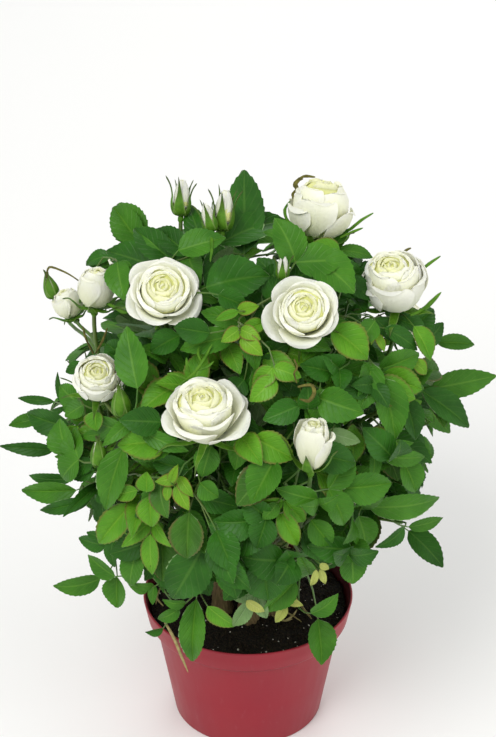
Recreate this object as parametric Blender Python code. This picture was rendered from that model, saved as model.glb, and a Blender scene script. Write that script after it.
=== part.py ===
"""Potted miniature rose: white blooms on a low, leafy dome, in a 12 cm plastic pot.

Metres, +Z up, with the origin at the middle of the pot's flat underside. The plant's front
faces -Y. Short woody stems stand in the soil. Each carries canes, and each cane carries one
mass of foliage: a shoot with its twigs, compound leaves, blooms and buds, all one solid.

Places in the crown are named in millimetres on a front plane that leans back by VIEW_TILT, as
somebody sees the plant who looks down on it: across to the right, up the plane, and how far a
thing stands in front of the dome that rounds off the crown, or behind it.
"""
import itertools
import math
import random

import bmesh
import bpy
from mathutils import Matrix, Vector
from mathutils.bvhtree import BVHTree

MM = 0.001

# The pot and its soil.
POT_RADIUS = 0.060
POT_HEIGHT = 0.077
POT_FOOT_RADIUS = 0.0425
POT_WALL = 0.0013
POT_FLOOR = 0.0018
POT_EDGE = 0.0006
LIP_HEIGHT = 0.0135
LIP_UNDER_RADIUS = 0.0572
NECK_RADIUS = 0.0534
NECK_HEIGHT = 0.0605
POT_SIDES = 36
SOIL_TOP = 0.0710
SOIL_CROWN = 0.0012
GAP = 0.0003

# The crown: a dome about the pot's axis.
DOME_RADIUS = 0.118
DOME_RISE = 0.135
DOME_MIDDLE = 0.200
SKIRT = 0.100

# The slanting front plane.
VIEW_TILT = math.radians(30.0)
VIEW_DISTANCE = 1.30
VIEW_MIDDLE = Vector((0.0, 0.0, 0.225))
ACROSS = Vector((1.0, 0.0, 0.0))
UP_PLANE = Vector((0.0, math.sin(VIEW_TILT), math.cos(VIEW_TILT)))
TOWARD = Vector((0.0, -math.cos(VIEW_TILT), math.sin(VIEW_TILT)))
UP = Vector((0.0, 0.0, 1.0))

# Stems, canes, shoots, twigs and leaf stalks.
STEM_COUNT = 6
STEM_RING = 0.017
STEM_FOOT_RADIUS = 0.0074
STEM_RADIUS = 0.0054
STEM_TOP = 0.092
CANE_RADIUS = 0.0017
CANE_FOOT_OFFSET = 0.0031
CANE_LEAN = 0.10
FEET_PER_STEM = 4
STEM_SIDES = 10
SUNK = 0.0012
CANE_SHARE = 0.50
CANE_POINTS = 5
CANE_CHECKS = 12
START_PULL = 0.30
END_PULL = 0.34
SHOOT_RISE = 0.4
SHOOT_RADIUS = 0.0015
SHOOT_TIP_RADIUS = 0.0011
TWIG_RADIUS = 0.0011
TWIG_TIP_RADIUS = 0.0009
TWIG_REACH = (0.029, 0.040)
TWIG_TRIES = 6
TWIG_TURN = 1.7
TWIG_INSIDE = 0.112
SIDE_SHOOT_DROP = 0.014
STALK_RADIUS = 0.0008
STALK_TIP_RADIUS = 0.0006
STALK_ROOT_RADIUS = 0.0003
LONG_STALK = 0.035
LONGEST_STALK = 0.060
LONGEST_LEADING = 0.110
TWIG_PLACES = (1, 2, 3)
BUD_SHARES = (0.25, 0.70)
MOST_BACKWARD = 0.3

# Leaves.
LEAF_THICKNESS = 0.0009
LEAF_SPREAD = 1.20
LEAF_ROOT_RADIUS = 0.0002
LEAF_WIDEST = 0.45
SIDE_LEAF_SIZE = 0.85
SIDE_LEAF_ANGLE = math.radians(58.0)
PAIR_FIRST = 0.30
PAIR_STEP = 0.62
FILL_LENGTH = (0.025, 0.033)
FILL_WIDTH = 0.62
FILL_LEAFLETS = 3
OVAL_ACROSS = 98.0
OVAL_UP = 96.0
OVAL_MIDDLE = -20.0
FILL_SHELLS = ((130, 0.95), (90, 0.80), (50, 0.60))
FILL_TOP = 0.985
FILL_SPAN = 1.70
FILL_OUTWARD = 0.75
FILL_ASIDE = 0.9
FILL_UPWARD = 0.7
FRONT_FACING = 0.9
MOST_SLANT = 0.5
SKIRT_RISE = 0.42
FLOWER_HEART = 0.42
BUD_REACH = 1.3
FLOWER_FRONT = 0.2
FLOWER_SLACK = 2.0
DEPTH_TRIES = (0, 4, -4, 8, -8, 13, 18)
MASSES_TRIED = 4
BUDS_TRIED = 10
CLEARANCE = 0.0004
GOLDEN_ANGLE = math.pi * (3.0 - math.sqrt(5.0))
SEED = 13

# Colours, as red, green and blue in linear light.
POT_RED = (0.36, 0.035, 0.050)
SOIL_BROWN = (0.010, 0.008, 0.006)
WOOD_BROWN = (0.12, 0.075, 0.030)
CANE_GREEN = (0.085, 0.16, 0.030)
LEAF_GREEN = (0.050, 0.16, 0.022)


def seen(across, up, toward):
    """The point at a place of the front plane, as the eye VIEW_DISTANCE away sees it."""
    eye = VIEW_MIDDLE + TOWARD * VIEW_DISTANCE
    flat = VIEW_MIDDLE + (ACROSS * across + UP_PLANE * up) * MM
    return eye + (flat - eye) * (1.0 - toward * MM / VIEW_DISTANCE)


def dome_front(across, up):
    """How far, in millimetres, the dome's near side stands out of the front plane."""
    lean = math.sin(VIEW_TILT)
    upright = math.cos(VIEW_TILT)
    side = across * MM
    back = up * MM * lean
    rise = VIEW_MIDDLE.z - DOME_MIDDLE + up * MM * upright
    square = (upright / DOME_RADIUS) ** 2 + (lean / DOME_RISE) ** 2
    half = (rise * lean) / DOME_RISE ** 2 - (back * upright) / DOME_RADIUS ** 2
    rest = (side ** 2 + back ** 2) / DOME_RADIUS ** 2 + (rise / DOME_RISE) ** 2 - 1.0
    root = math.sqrt(max(0.0, half ** 2 - square * rest))
    return (root - half) / square / MM


def front(across, up, out=0.0):
    """A place on the near side of the dome, or so far in front of it."""
    return seen(across, up, dome_front(across, up) + out)


def around(azimuth, height, share=1.0):
    """A place round the crown: azimuth in degrees from +X, height in metres."""
    level = (height - DOME_MIDDLE) / DOME_RISE
    radius = DOME_RADIUS * share * math.sqrt(max(0.0, 1.0 - level ** 2))
    turn = math.radians(azimuth)
    return Vector((radius * math.cos(turn), radius * math.sin(turn), height))


def facing(across, up, toward):
    """A direction named on the front plane."""
    return (ACROSS * across + UP_PLANE * up + TOWARD * toward).normalized()


def outward(place):
    """The dome's own outward direction at a place."""
    gradient = Vector((place.x / DOME_RADIUS ** 2, place.y / DOME_RADIUS ** 2,
                       (place.z - DOME_MIDDLE) / DOME_RISE ** 2))
    return gradient.normalized()


# Each flower: its form, width in millimetres, middle, and the way it faces.
FLOWERS = {
    "b1": ("open", 41, front(-46, 42, 3), facing(0.05, 0.40, 1.0)),
    "b2": ("open", 41, front(29, 32, 3), facing(-0.05, 0.30, 1.0)),
    "b3": ("open", 50, front(-25, -24, 3), facing(0.0, 1.0, 1.0)),
    "b4": ("cup", 34, front(40, 87, 2), facing(0.10, 1.0, 0.50)),
    "b5": ("cup", 34, front(80, 46, 3), facing(-0.10, 0.80, 0.80)),
    "b6": ("cup", 25, front(-83, -5, 2), facing(0.05, 0.60, 1.0)),
    "b7": ("cup", 20, front(-83, 44, 2), facing(0.10, 1.0, 0.40)),
    "b7_side": ("cup", 15, front(-99, 35, 2), facing(-0.40, 0.90, 0.40)),
    "b7_bud": ("bud", 7, front(-107, 44, 2), facing(-0.30, 1.0, 0.10)),
    "b8": ("bud", 20, front(35, -42, 6), facing(0.05, 1.0, 0.60)),
    "top_bud": ("bud", 11, front(-36, 93, 2), facing(0.05, 1.0, 0.10)),
    "top_side": ("bud", 14, front(-15, 86, 4), facing(0.10, 1.0, 0.20)),
    "small": ("bud", 7, front(19, 55), facing(0.05, 1.0, 0.30)),
    "green": ("bud", 9, front(-69, -18), facing(-0.10, 1.0, 0.30)),
    "yellow": ("bud", 8, front(-81, -46, -2), facing(-0.05, 1.0, 0.30)),
    "rear_left_bloom": ("open", 38, around(128, 0.236), outward(around(128, 0.280))),
    "rear_bloom": ("cup", 32, around(84, 0.212), outward(around(84, 0.280))),
    "rear_right_bloom": ("open", 36, around(40, 0.210), outward(around(40, 0.260))),
    "rear_bud": ("bud", 15, around(143, 0.176), outward(around(143, 0.290))),
}
FLOWER_HEIGHT = {"open": 0.62, "cup": 0.86, "bud": 1.75}
FLOWER_SIDES = {"open": 8, "cup": 8, "bud": 6}
FLOWER_PROFILE = {
    "open": ((0.16, 0.00), (0.98, 0.56), (0.86, 0.90)),
    "cup": ((0.22, 0.00), (1.00, 0.48), (0.82, 0.90)),
    "bud": ((0.26, 0.00), (1.00, 0.34), (0.56, 0.80)),
}

# Each mass: where its shoot ends if not at a flower, and the flowers it carries.
MASSES = {
    "upper_left": (None, ("b1",)),
    "top": (None, ("top_bud", "top_side")),
    "upper_right": (None, ("b4",)),
    "right_bloom": (None, ("b5",)),
    "middle": (None, ("b2", "small")),
    "front_left": (None, ("b3",)),
    "front_right": (None, ("b8",)),
    "left": (None, ("b6", "green", "yellow")),
    "left_bud": (None, ("b7", "b7_side", "b7_bud")),
    "right": (front(104, -6, -12), ()),
    "right_face": (front(74, -22, -10), ()),
    "lower_right": (front(86, -84, -10), ()),
    "low_right": (front(42, -112, -12), ()),
    "lower_left": (front(-78, -74, -10), ()),
    "low_left": (front(-34, -98, -12), ()),
    "rear_left": (None, ("rear_left_bloom",)),
    "rear": (None, ("rear_bloom",)),
    "rear_right": (None, ("rear_right_bloom",)),
    "rear_top": (around(98, 0.262, 0.62), ()),
    "rear_low_left": (None, ("rear_bud",)),
    "rear_low": (around(100, 0.160, 0.85), ()),
    "rear_low_right": (around(48, 0.150, 0.85), ()),
}

# The leading leaves, which give the crown its outline and its face: base and tip (across, up),
# width, leaflets, and how far the leaf lies behind the dome.
TOP_LEAVES = (
    (-2, 62, -2, 108, 21, 3, 10), (-23, 62, -32, 89, 13, 3, 14), (-58, 67, -73, 88, 16, 3, 14),
    (-41, 58, -61, 76, 15, 3, 6), (32, 67, 8, 74, 9, 3, 12), (49, 64, 68, 60, 8, 3, 16),
    (-23, 44, 12, 50, 23, 1, 2), (34, 61, 58, 41, 21, 3, 2), (-71, 58, -64, 40, 14, 1, 10),
    (-75, 56, -88, 58, 7, 1, 16),
)
RIGHT_LEAVES = (
    (99, -11, 135, -4, 15, 3, 2), (102, 14, 123, 13, 9, 3, 12), (94, -12, 120, -32, 15, 3, 8),
    (96, 13, 106, 25, 10, 1, 12), (45, 22, 65, 5, 18, 3, 1), (73, -5, 80, -39, 18, 3, 0),
    (90, 23, 99, 4, 12, 3, 2), (47, 1, 76, -11, 14, 3, 2), (70, -1, 93, 8, 13, 3, 6),
    (85, -16, 91, -39, 13, 1, 8), (73, -48, 96, -48, 9, 3, 6),
)
LEFT_LEAVES = (
    (-60, -11, -66, 23, 17, 1, -6), (-105, -44, -135, -42, 8, 1, 10),
    (-113, -27, -130, -31, 8, 1, 10), (-105, -18, -125, -16, 5, 3, 14),
    (-96, -47, -102, -27, 17, 3, 4), (-67, -42, -77, -77, 16, 3, 0),
    (-58, -34, -32, -45, 9, 3, 2), (-93, -66, -123, -66, 12, 3, 2),
    (-85, -71, -113, -77, 8, 3, 6), (-63, -73, -81, -95, 15, 3, 0),
    (-77, -96, -92, -92, 10, 3, 8), (-80, -114, -106, -118, 13, 3, 4),
    (-71, -113, -71, -130, 14, 1, 4), (-60, -98, -64, -118, 13, 1, 8),
    (-72, -113, -87, -101, 12, 1, 8),
)
FACE_LEAVES = (
    (9, 25, -5, 19, 8, 3, 2), (-4, 17, 8, 7, 9, 3, 1), (15, -5, 1, -18, 12, 3, 2),
    (-7, 18, -37, 10, 13, 3, 8), (3, -37, 25, -49, 16, 3, 1), (-20, -42, -25, -59, 13, 3, 3),
    (-39, -63, -32, -77, 8, 3, 1), (-32, -78, -33, -103, 18, 1, 1), (-24, -96, -41, -125, 23, 3, 2),
    (-53, -90, -52, -112, 10, 3, 1), (4, -82, -18, -83, 17, 3, 4), (38, -71, 15, -65, 11, 3, 4),
    (17, -77, 27, -96, 11, 3, 1),
)
LOW_LEAVES = (
    (65, -75, 104, -70, 14, 3, 8), (51, -65, 78, -62, 17, 3, 0), (87, -88, 106, -108, 14, 3, 4),
    (60, -80, 64, -97, 15, 1, 8), (56, -100, 57, -117, 15, 3, 4), (8, -103, 11, -126, 22, 3, 0),
    (84, -50, 91, -67, 14, 1, 6), (87, -86, 106, -81, 8, 1, 6),
    (26, -115, 8, -132, 12, 3, 6), (34, -133, 49, -122, 11, 1, 4), (38, -136, 40, -161, 16, 1, -6),
    (-28, -125, -30, -159, 14, 3, -6),
)
LEADING_LEAVES = TOP_LEAVES + RIGHT_LEAVES + LEFT_LEAVES + LOW_LEAVES + FACE_LEAVES
# Round windows of the front plane, (across, up, radius), that the light shines through.
SKY_WINDOWS = ((55, -28, 4), (66, -29, 5), (77, -56, 4), (76, -82, 5), (-86, -64, 4), (-68, -110, 3))


# ---------------------------------------------------------------- solids as points and faces

def frames_along(points, start, end):
    """The direction and one steady sideways direction at each point of a line."""
    frames = []
    side = None
    for index in range(len(points)):
        ahead = points[min(index + 1, len(points) - 1)]
        behind = points[max(index - 1, 0)]
        along = (ahead - behind).normalized()
        if index == 0 and start is not None:
            along = start
        if index == len(points) - 1 and end is not None:
            along = end
        if side is None:
            side = along.orthogonal().normalized()
        side = (side - along * side.dot(along)).normalized()
        frames.append((along, side))
    return frames


def tube(points, first_radius, last_radius, sides, start=None, end=None):
    """A closed tube along a line, tapering evenly, with flat ends that may face given ways."""
    verts = []
    for index, (along, side) in enumerate(frames_along(points, start, end)):
        share = index / (len(points) - 1)
        radius = first_radius + (last_radius - first_radius) * share
        other = along.cross(side)
        for corner in range(sides):
            turn = 2.0 * math.pi * corner / sides
            spoke = side * math.cos(turn) + other * math.sin(turn)
            verts.append(points[index] + spoke * radius)
    faces = []
    for ring in range(len(points) - 1):
        for corner in range(sides):
            here = ring * sides + corner
            beside = ring * sides + (corner + 1) % sides
            faces.append((here, beside, beside + sides, here + sides))
    faces.append(tuple(reversed(range(sides))))
    faces.append(tuple(range(len(verts) - sides, len(verts))))
    return verts, faces


def branch(points):
    """A three-sided twig whose narrow root stays inside the shoot that it grows from."""
    verts, faces = tube(points, TWIG_RADIUS, TWIG_TIP_RADIUS, 3)
    for corner in range(3):
        verts[corner] = points[0] + (verts[corner] - points[0]) * (STALK_ROOT_RADIUS / TWIG_RADIUS)
    return verts, faces


def turned(profile, sides, place, axis):
    """A solid turned about an axis: (radius, height) pairs upwards, ending on the axis."""
    side = axis.orthogonal().normalized()
    other = axis.cross(side)
    verts = []
    for radius, height in profile:
        for corner in range(sides):
            turn = 2.0 * math.pi * corner / sides
            across = (side * math.cos(turn) + other * math.sin(turn)) * radius
            verts.append(place + across + axis * height)
    faces = []
    for ring in range(len(profile) - 1):
        for corner in range(sides):
            here = ring * sides + corner
            beside = ring * sides + (corner + 1) % sides
            faces.append((here, beside, beside + sides, here + sides))
    faces.append(tuple(reversed(range(sides))))
    last = len(verts) - sides
    verts.append(place + axis * profile[-1][1] * 1.04)
    for corner in range(sides):
        faces.append((last + corner, last + (corner + 1) % sides, len(verts) - 1))
    return verts, faces


def corner_ring(middle, along, across, half_width, thickness, height):
    """Three points round a line: left, right and a keel below."""
    up = across.cross(along)
    return [middle - across * half_width + up * height, middle + across * half_width + up * height,
            middle - up * (thickness - height)]


def round_ring(middle, along, across, radius):
    """Three points round a stalk."""
    return corner_ring(middle, along, across, radius, radius * 1.5, radius * 0.5)


def blade_frame(base, tip, face):
    """The way a leaflet points, and its direction from edge to edge."""
    along = (tip - base).normalized()
    return along, along.cross(face).normalized()


def blade_end(base, tip, face, width, grown):
    """The widest ring and the tip of a leaflet, whose upper side is slightly creased."""
    along, across = blade_frame(base, tip, face)
    half = width * 0.5 * LEAF_SPREAD + grown
    thick = LEAF_THICKNESS + grown * 2.0
    middle = base.lerp(tip, LEAF_WIDEST)
    return corner_ring(middle, along, across, half, thick, grown), [tip + along * grown]


def skin(rings):
    """Triangles over a row of three-point rings that ends in one point."""
    verts = [vert for ring in rings for vert in ring]
    faces = [(0, 1, 2)]
    for ring in range(len(rings) - 2):
        for corner in range(3):
            here = ring * 3 + corner
            beside = ring * 3 + (corner + 1) % 3
            faces.append((here, here + 3, beside + 3))
            faces.append((here, beside + 3, beside))
    last = (len(rings) - 2) * 3
    for corner in range(3):
        faces.append((last + corner, len(verts) - 1, last + (corner + 1) % 3))
    return verts, faces


def blade(base, tip, face, width, grown=0.0):
    """A side leaflet: a small root ring sunk in its stalk, a wide ring and a tip."""
    along, across = blade_frame(base, tip, face)
    root = round_ring(base - along * grown, along, across, LEAF_ROOT_RADIUS + grown)
    return skin([root, *blade_end(base, tip, face, width, grown)])


def leaf_stalk(line, first_radius, leaflet, grown=0.0):
    """A stalk that ends in its own leaflet, as one solid."""
    base, tip, face, width = leaflet
    along, across = blade_frame(base, tip, face)
    last = len(line) - 1
    rings = []
    for index in range(last, -1, -1):
        if index < last:
            along = (line[index + 1] - line[max(index - 1, 0)]).normalized()
            across = (across - along * across.dot(along)).normalized()
        radius = first_radius + (STALK_TIP_RADIUS - first_radius) * index / last
        if index == 0:
            radius = STALK_ROOT_RADIUS
        rings.insert(0, round_ring(line[index], along, across, radius + grown))
    return skin([*rings, *blade_end(base, tip, face, width, grown)])


def bloom(name, grown=0.0):
    """A flower's solid, turned about the way it faces."""
    form, width, middle, axis = FLOWERS[name]
    height = width * MM * FLOWER_HEIGHT[form]
    foot = middle - axis * (height * 0.5)
    profile = []
    for radius, level in FLOWER_PROFILE[form]:
        profile.append((radius * width * MM * 0.5 + grown, level * height))
    return turned(profile, FLOWER_SIDES[form], foot, axis)


def curve(start, start_pull, end_pull, end, steps, first=0.0, last=1.0):
    """Points of a cubic curve between two of its shares."""
    points = []
    for step in range(steps + 1):
        share = first + (last - first) * step / steps
        rest = 1.0 - share
        points.append(start * rest ** 3 + start_pull * (3.0 * rest ** 2 * share)
                      + end_pull * (3.0 * rest * share ** 2) + end * share ** 3)
    return points


# ---------------------------------------------------------------- growing the crown

class Piece:
    """One closed solid of the plant, with what is needed to keep clear of it."""

    def __init__(self, mass, kind, shape):
        self.mass = mass
        self.kind = kind
        self.verts, self.faces = shape
        self.low, self.high = box(self.verts)
        self.tree = BVHTree.FromPolygons(self.verts, self.faces)


def box(points):
    """The lowest and highest corners of some points."""
    low = Vector((min(p.x for p in points), min(p.y for p in points), min(p.z for p in points)))
    high = Vector((max(p.x for p in points), max(p.y for p in points), max(p.z for p in points)))
    return low, high


def boxes_meet(low, high, piece):
    """Whether a box reaches into a piece's box."""
    return all(low[axis] <= piece.high[axis] and piece.low[axis] <= high[axis] for axis in range(3))


def on_plane(point):
    """Where the eye sees a point on the front plane: across, up, toward, in millimetres."""
    offset = point - VIEW_MIDDLE
    toward = offset.dot(TOWARD)
    shrink = VIEW_DISTANCE / (VIEW_DISTANCE - toward)
    return offset.dot(ACROSS) * shrink / MM, offset.dot(UP_PLANE) * shrink / MM, toward / MM


def in_window(points):
    """Whether any of some points shows in a sky window."""
    for point in points:
        across, up, _ = on_plane(point)
        for window_across, window_up, radius in SKY_WINDOWS:
            if math.hypot(across - window_across, up - window_up) < radius:
                return True
    return False


def hides_flower(points, slack):
    """Whether any of some points shows in front of a flower."""
    for point in points:
        across, up, toward = on_plane(point)
        for form, width, middle, _ in FLOWERS.values():
            flower_across, flower_up, flower_toward = on_plane(middle)
            reach = width * 0.5 * (BUD_REACH if form == "bud" else 1.0) - slack
            nearer = toward > flower_toward - width * FLOWER_FRONT
            if nearer and math.hypot(across - flower_across, up - flower_up) < reach:
                return True
    return False


class Crown:
    """The growing plant: its pieces, and the lines that each mass's leaves may hang on."""

    def __init__(self):
        self.pieces = []
        self.shoots = {name: [] for name in MASSES}
        self.twigs = []
        self.sprays = []
        self.taken = set()

    def clear(self, shape, parent=None):
        """Whether a shape keeps clear of every piece but the one that it grows from."""
        verts, faces = shape
        low, high = box(verts)
        tree = BVHTree.FromPolygons(verts, faces)
        for piece in self.pieces:
            if piece is parent or not boxes_meet(low, high, piece):
                continue
            if tree.overlap(piece.tree):
                return False
        return not any(in_flower(vert) for vert in verts)

    def add(self, mass, kind, shape):
        piece = Piece(mass, kind, shape)
        self.pieces.append(piece)
        return piece

    def add_shoot(self, mass, line, shape):
        """A piece that leaves may hang on."""
        self.shoots[mass].append((line, self.add(mass, "shoot", shape)))


def in_flower(point):
    """Whether a point lies well inside a flower."""
    return any((point - middle).length < width * MM * FLOWER_HEART
               for _, width, middle, _ in FLOWERS.values())


def flower_foot(name):
    """Where a flower sits on its shoot, and the way it faces."""
    form, width, middle, axis = FLOWERS[name]
    return middle - axis * (width * MM * FLOWER_HEIGHT[form] * 0.5), axis


def shoot_end(mass):
    """Where a mass's main shoot ends, and its direction there."""
    end, flowers = MASSES[mass]
    if flowers:
        return flower_foot(flowers[0])
    return end, (outward(end) + UP * SHOOT_RISE).normalized()


def azimuth_of(mass):
    """The way round the crown, from +X, that a mass's shoot ends."""
    end = shoot_end(mass)[0]
    return math.atan2(end.y, end.x)


def main_line(mass, foot):
    """The pulls of the curve from a cane's foot to the end of its mass's shoot."""
    end, direction = shoot_end(mass)
    span = (end - foot).length
    lean = Vector((end.x - foot.x, end.y - foot.y, 0.0)) * CANE_LEAN
    return (foot, foot + UP * (span * START_PULL) + lean, end - direction * (span * END_PULL),
            end)


def nearest_gap(line, others):
    """The least distance between a line's points and other lines' points."""
    return min([(here - there).length for here in line for other in others for there in other],
               default=1.0)


def plant_canes():
    """The stems' feet, and each mass's curve from its foot on the stem at its side of the pot.

    The canes of one stem are dealt to its feet so that all canes keep farthest apart.
    """
    order = sorted(MASSES, key=azimuth_of)
    hearts = []
    lines = {}
    placed = []
    for stem in range(STEM_COUNT):
        group = order[stem * len(order) // STEM_COUNT:(stem + 1) * len(order) // STEM_COUNT]
        middle = 2.0 * math.pi * (stem + 0.5) / STEM_COUNT - math.pi
        heart = Vector((math.cos(middle), math.sin(middle), 0.0)) * STEM_RING
        feet = []
        for corner in range(FEET_PER_STEM):
            turn = middle + 2.0 * math.pi * corner / FEET_PER_STEM
            offset = Vector((math.cos(turn), math.sin(turn), 0.0)) * CANE_FOOT_OFFSET
            feet.append(heart + offset + UP * (STEM_TOP + GAP))
        best = None
        for dealt in itertools.permutations(feet, len(group)):
            pulls = [main_line(mass, foot) for mass, foot in zip(group, dealt)]
            canes = [curve(*line, CANE_CHECKS, 0.0, CANE_SHARE) for line in pulls]
            gaps = [nearest_gap(cane, placed + canes[:place]) for place, cane in enumerate(canes)]
            if best is None or min(gaps) > best[0]:
                best = (min(gaps), pulls, canes)
        lines.update(zip(group, best[1]))
        placed += best[2]
        hearts.append(heart)
    return hearts, lines


def grow_limbs(crown, lines):
    """Canes, main shoots, flowers and their side shoots."""
    for name in FLOWERS:
        crown.add(name, "flower", bloom(name))
    for mass in MASSES:
        cane = curve(*lines[mass], CANE_POINTS, 0.0, CANE_SHARE)
        shoot = curve(*lines[mass], CANE_POINTS, CANE_SHARE, 1.0)
        joint = (shoot[1] - cane[-2]).normalized()
        shoot[0] = shoot[0] + joint * GAP
        shoot[-1] = shoot[-1] + (shoot[-1] - shoot[-2]).normalized() * SUNK
        crown.add("cane", "cane_" + mass, tube(cane, CANE_RADIUS, SHOOT_RADIUS, 4, UP, joint))
        crown.add_shoot(mass, shoot, tube(shoot, SHOOT_RADIUS, SHOOT_TIP_RADIUS, 3, joint))
        for flower in MASSES[mass][1][1:]:
            foot, axis = flower_foot(flower)
            below = foot - UP * SIDE_SHOOT_DROP
            start = min(buds_on(shoot), key=lambda point: (point - below).length)
            reach = (foot - start).length
            start_pull = start + (shoot[-1] - start).normalized() * reach * START_PULL
            end_pull = foot - axis * reach * END_PULL
            side = curve(start, start_pull, end_pull, foot + axis * SUNK, 3)
            crown.taken.add(tuple(start))
            crown.add_shoot(mass, side, branch(side))


def grow_twigs(crown, chance):
    """Side twigs in golden-angle order along each main shoot."""
    for number, mass in enumerate(MASSES):
        shoot, parent = crown.shoots[mass][0]
        for order, place in enumerate(TWIG_PLACES):
            start = shoot[place].lerp(shoot[place + 1], 0.45)
            along = (shoot[place + 1] - start).normalized()
            side = along.orthogonal().normalized()
            reach = chance.uniform(*TWIG_REACH)
            for attempt in range(TWIG_TRIES):
                turn = GOLDEN_ANGLE * (number * 3 + order + attempt * TWIG_TURN)
                heading = Matrix.Rotation(turn, 3, along) @ side
                heading = (heading + outward(start) * 0.7 + along * 0.5 + UP * 0.15).normalized()
                end = start + heading * reach
                twig = curve(start, start + (along + heading) * reach * 0.2,
                             end - (heading + UP * 0.3) * reach * 0.3, end, 3)
                wide = tube(twig, TWIG_RADIUS + CLEARANCE, TWIG_TIP_RADIUS + CLEARANCE, 3)
                inside = (end - VIEW_MIDDLE).length < TWIG_INSIDE
                hidden = not in_window(twig) and not hides_flower(twig, 0.0)
                if inside and hidden and crown.clear(wide, parent):
                    crown.add_shoot(mass, twig, branch(twig))
                    crown.twigs.append((mass, crown.shoots[mass][-1]))
                    break


def stalk_line(start, base, along):
    """A leaf stalk's curve from its shoot to the foot of the end leaflet."""
    reach = (base - start).length
    steps = 2 if reach < LONG_STALK else 3
    return curve(start, start.lerp(base, 0.3) + UP * reach * 0.08, base - along * reach * 0.4,
                 base, steps)


def leaflets_on(stalk, base, tip, face, width, count):
    """The end leaflet and as many pairs as the stalk has room for."""
    length = (tip - base).length
    leaflets = [(base, tip, face, width)]
    for pair in range((count - 1) // 2):
        node, heading = back_along(stalk, (PAIR_FIRST + PAIR_STEP * pair) * length)
        if node is None:
            break
        for side in (-1.0, 1.0):
            aside = Matrix.Rotation(side * SIDE_LEAF_ANGLE, 3, face) @ heading
            end = node + aside * length * SIDE_LEAF_SIZE
            leaflets.append((node, end, face, width * SIDE_LEAF_SIZE))
    return leaflets


def back_along(points, distance):
    """The point so far back from a line's end, and the line's direction there."""
    for index in range(len(points) - 1, 0, -1):
        step = points[index] - points[index - 1]
        if distance < step.length:
            return points[index] - step.normalized() * distance, step.normalized()
        distance -= step.length
    return None, None


def in_sight(leaflet, leading):
    """Whether a leaflet stays out of the sky windows, off the flowers and above the skirt."""
    corners = blade(*leaflet, CLEARANCE)[0]
    if in_window([*corners, leaflet[0].lerp(leaflet[1], 0.5)]):
        return False
    if leading:
        return True
    if min(corner.z for corner in corners) < floor_at(leaflet[1]):
        return False
    return not hides_flower(corners, FLOWER_SLACK)


def buds_on(shoot):
    """The places along a shoot where a leaf may start, clear of its own corners."""
    places = []
    for index in range(1, len(shoot) - 1):
        places += [shoot[index].lerp(shoot[index + 1], share) for share in BUD_SHARES]
    return places


def free_buds(crown, mass, heel):
    """A mass's free places for a leaf, each with its shoot's piece, the nearest first."""
    places = []
    for shoot, parent in crown.shoots[mass]:
        places += [(place, parent) for place in buds_on(shoot) if tuple(place) not in crown.taken]
    places.sort(key=lambda pair: (pair[0] - heel).length)
    return places[:BUDS_TRIED]


def inside_front(points):
    """Whether some points all show inside the oval that unnamed leaves keep to."""
    for point in points:
        across, up, _ = on_plane(point)
        if math.hypot(across / OVAL_ACROSS, (up - OVAL_MIDDLE) / OVAL_UP) > 1.0:
            return False
    return True


def grow_spray(crown, mass, leaflet, count, leading=False):
    """A compound leaf on the nearest shoot that it can reach without touching anything."""
    base, tip, face, width = leaflet
    along = (tip - base).normalized()
    if not in_sight(leaflet, leading) or not crown.clear(blade(*leaflet, CLEARANCE)):
        return False
    for start, parent in free_buds(crown, mass, base.lerp(tip, -0.5)):
        reach = (base - start).length
        if reach > (LONGEST_LEADING if leading else LONGEST_STALK):
            break
        stalk = stalk_line(start, base, along)
        first_radius = STALK_RADIUS if reach < LONG_STALK else TWIG_RADIUS
        if (base - start).dot(along) < -MOST_BACKWARD * reach:
            continue
        if not leading and (in_window(stalk) or hides_flower(stalk, 0.0)):
            continue
        if not crown.clear(leaf_stalk(stalk, first_radius, leaflet, CLEARANCE), parent):
            continue
        kept = [leaflet]
        for side_leaflet in leaflets_on(stalk, base, tip, face, width, count)[1:]:
            if in_sight(side_leaflet, False) and crown.clear(blade(*side_leaflet, CLEARANCE)):
                kept.append(side_leaflet)
        crown.taken.add(tuple(start))
        crown.sprays.append((mass, stalk, kept))
        shape = leaf_stalk(stalk, first_radius, leaflet)
        if reach < LONG_STALK:
            crown.add(mass, "stalk", shape)
        else:
            crown.add_shoot(mass, stalk, shape)
        for side_leaflet in kept[1:]:
            crown.add(mass, "leaf", blade(*side_leaflet))
        return True
    return False


def nearest_masses(crown, base):
    """The masses whose shoots come nearest to a leaf's base."""
    def distance(mass):
        return min((point - base).length for line, _ in crown.shoots[mass] for point in line)

    return sorted(MASSES, key=distance)[:MASSES_TRIED]


def floor_at(place):
    """How low a leaf may hang: the skirt rises toward the front and over the soil."""
    return SKIRT + max(0.0, -place.y) * SKIRT_RISE


def leaf_face(base, tip, lean):
    """The way a leaf faces: outward from the crown, leaning toward a direction."""
    along = (tip - base).normalized()
    wish = outward(base.lerp(tip, 0.5)) + lean
    return (wish - along * wish.dot(along)).normalized()


def grow_leading(crown):
    """The leading leaves, each at the first of a few depths where it finds room."""
    for base_across, base_up, tip_across, tip_up, width, count, behind in LEADING_LEAVES:
        middle = dome_front((base_across + tip_across) / 2.0, (base_up + tip_up) / 2.0)
        most = MOST_SLANT * math.hypot(tip_across - base_across, tip_up - base_up)
        slant = max(-most, min(most, dome_front(tip_across, tip_up) - middle))
        for shift in DEPTH_TRIES:
            depth = middle - behind - shift
            base = seen(base_across, base_up, depth)
            tip = seen(tip_across, tip_up, depth + slant)
            leaflet = (base, tip, leaf_face(base, tip, TOWARD * FRONT_FACING), width * MM)
            if any(grow_spray(crown, mass, leaflet, count, True)
                   for mass in nearest_masses(crown, base)):
                break


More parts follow.
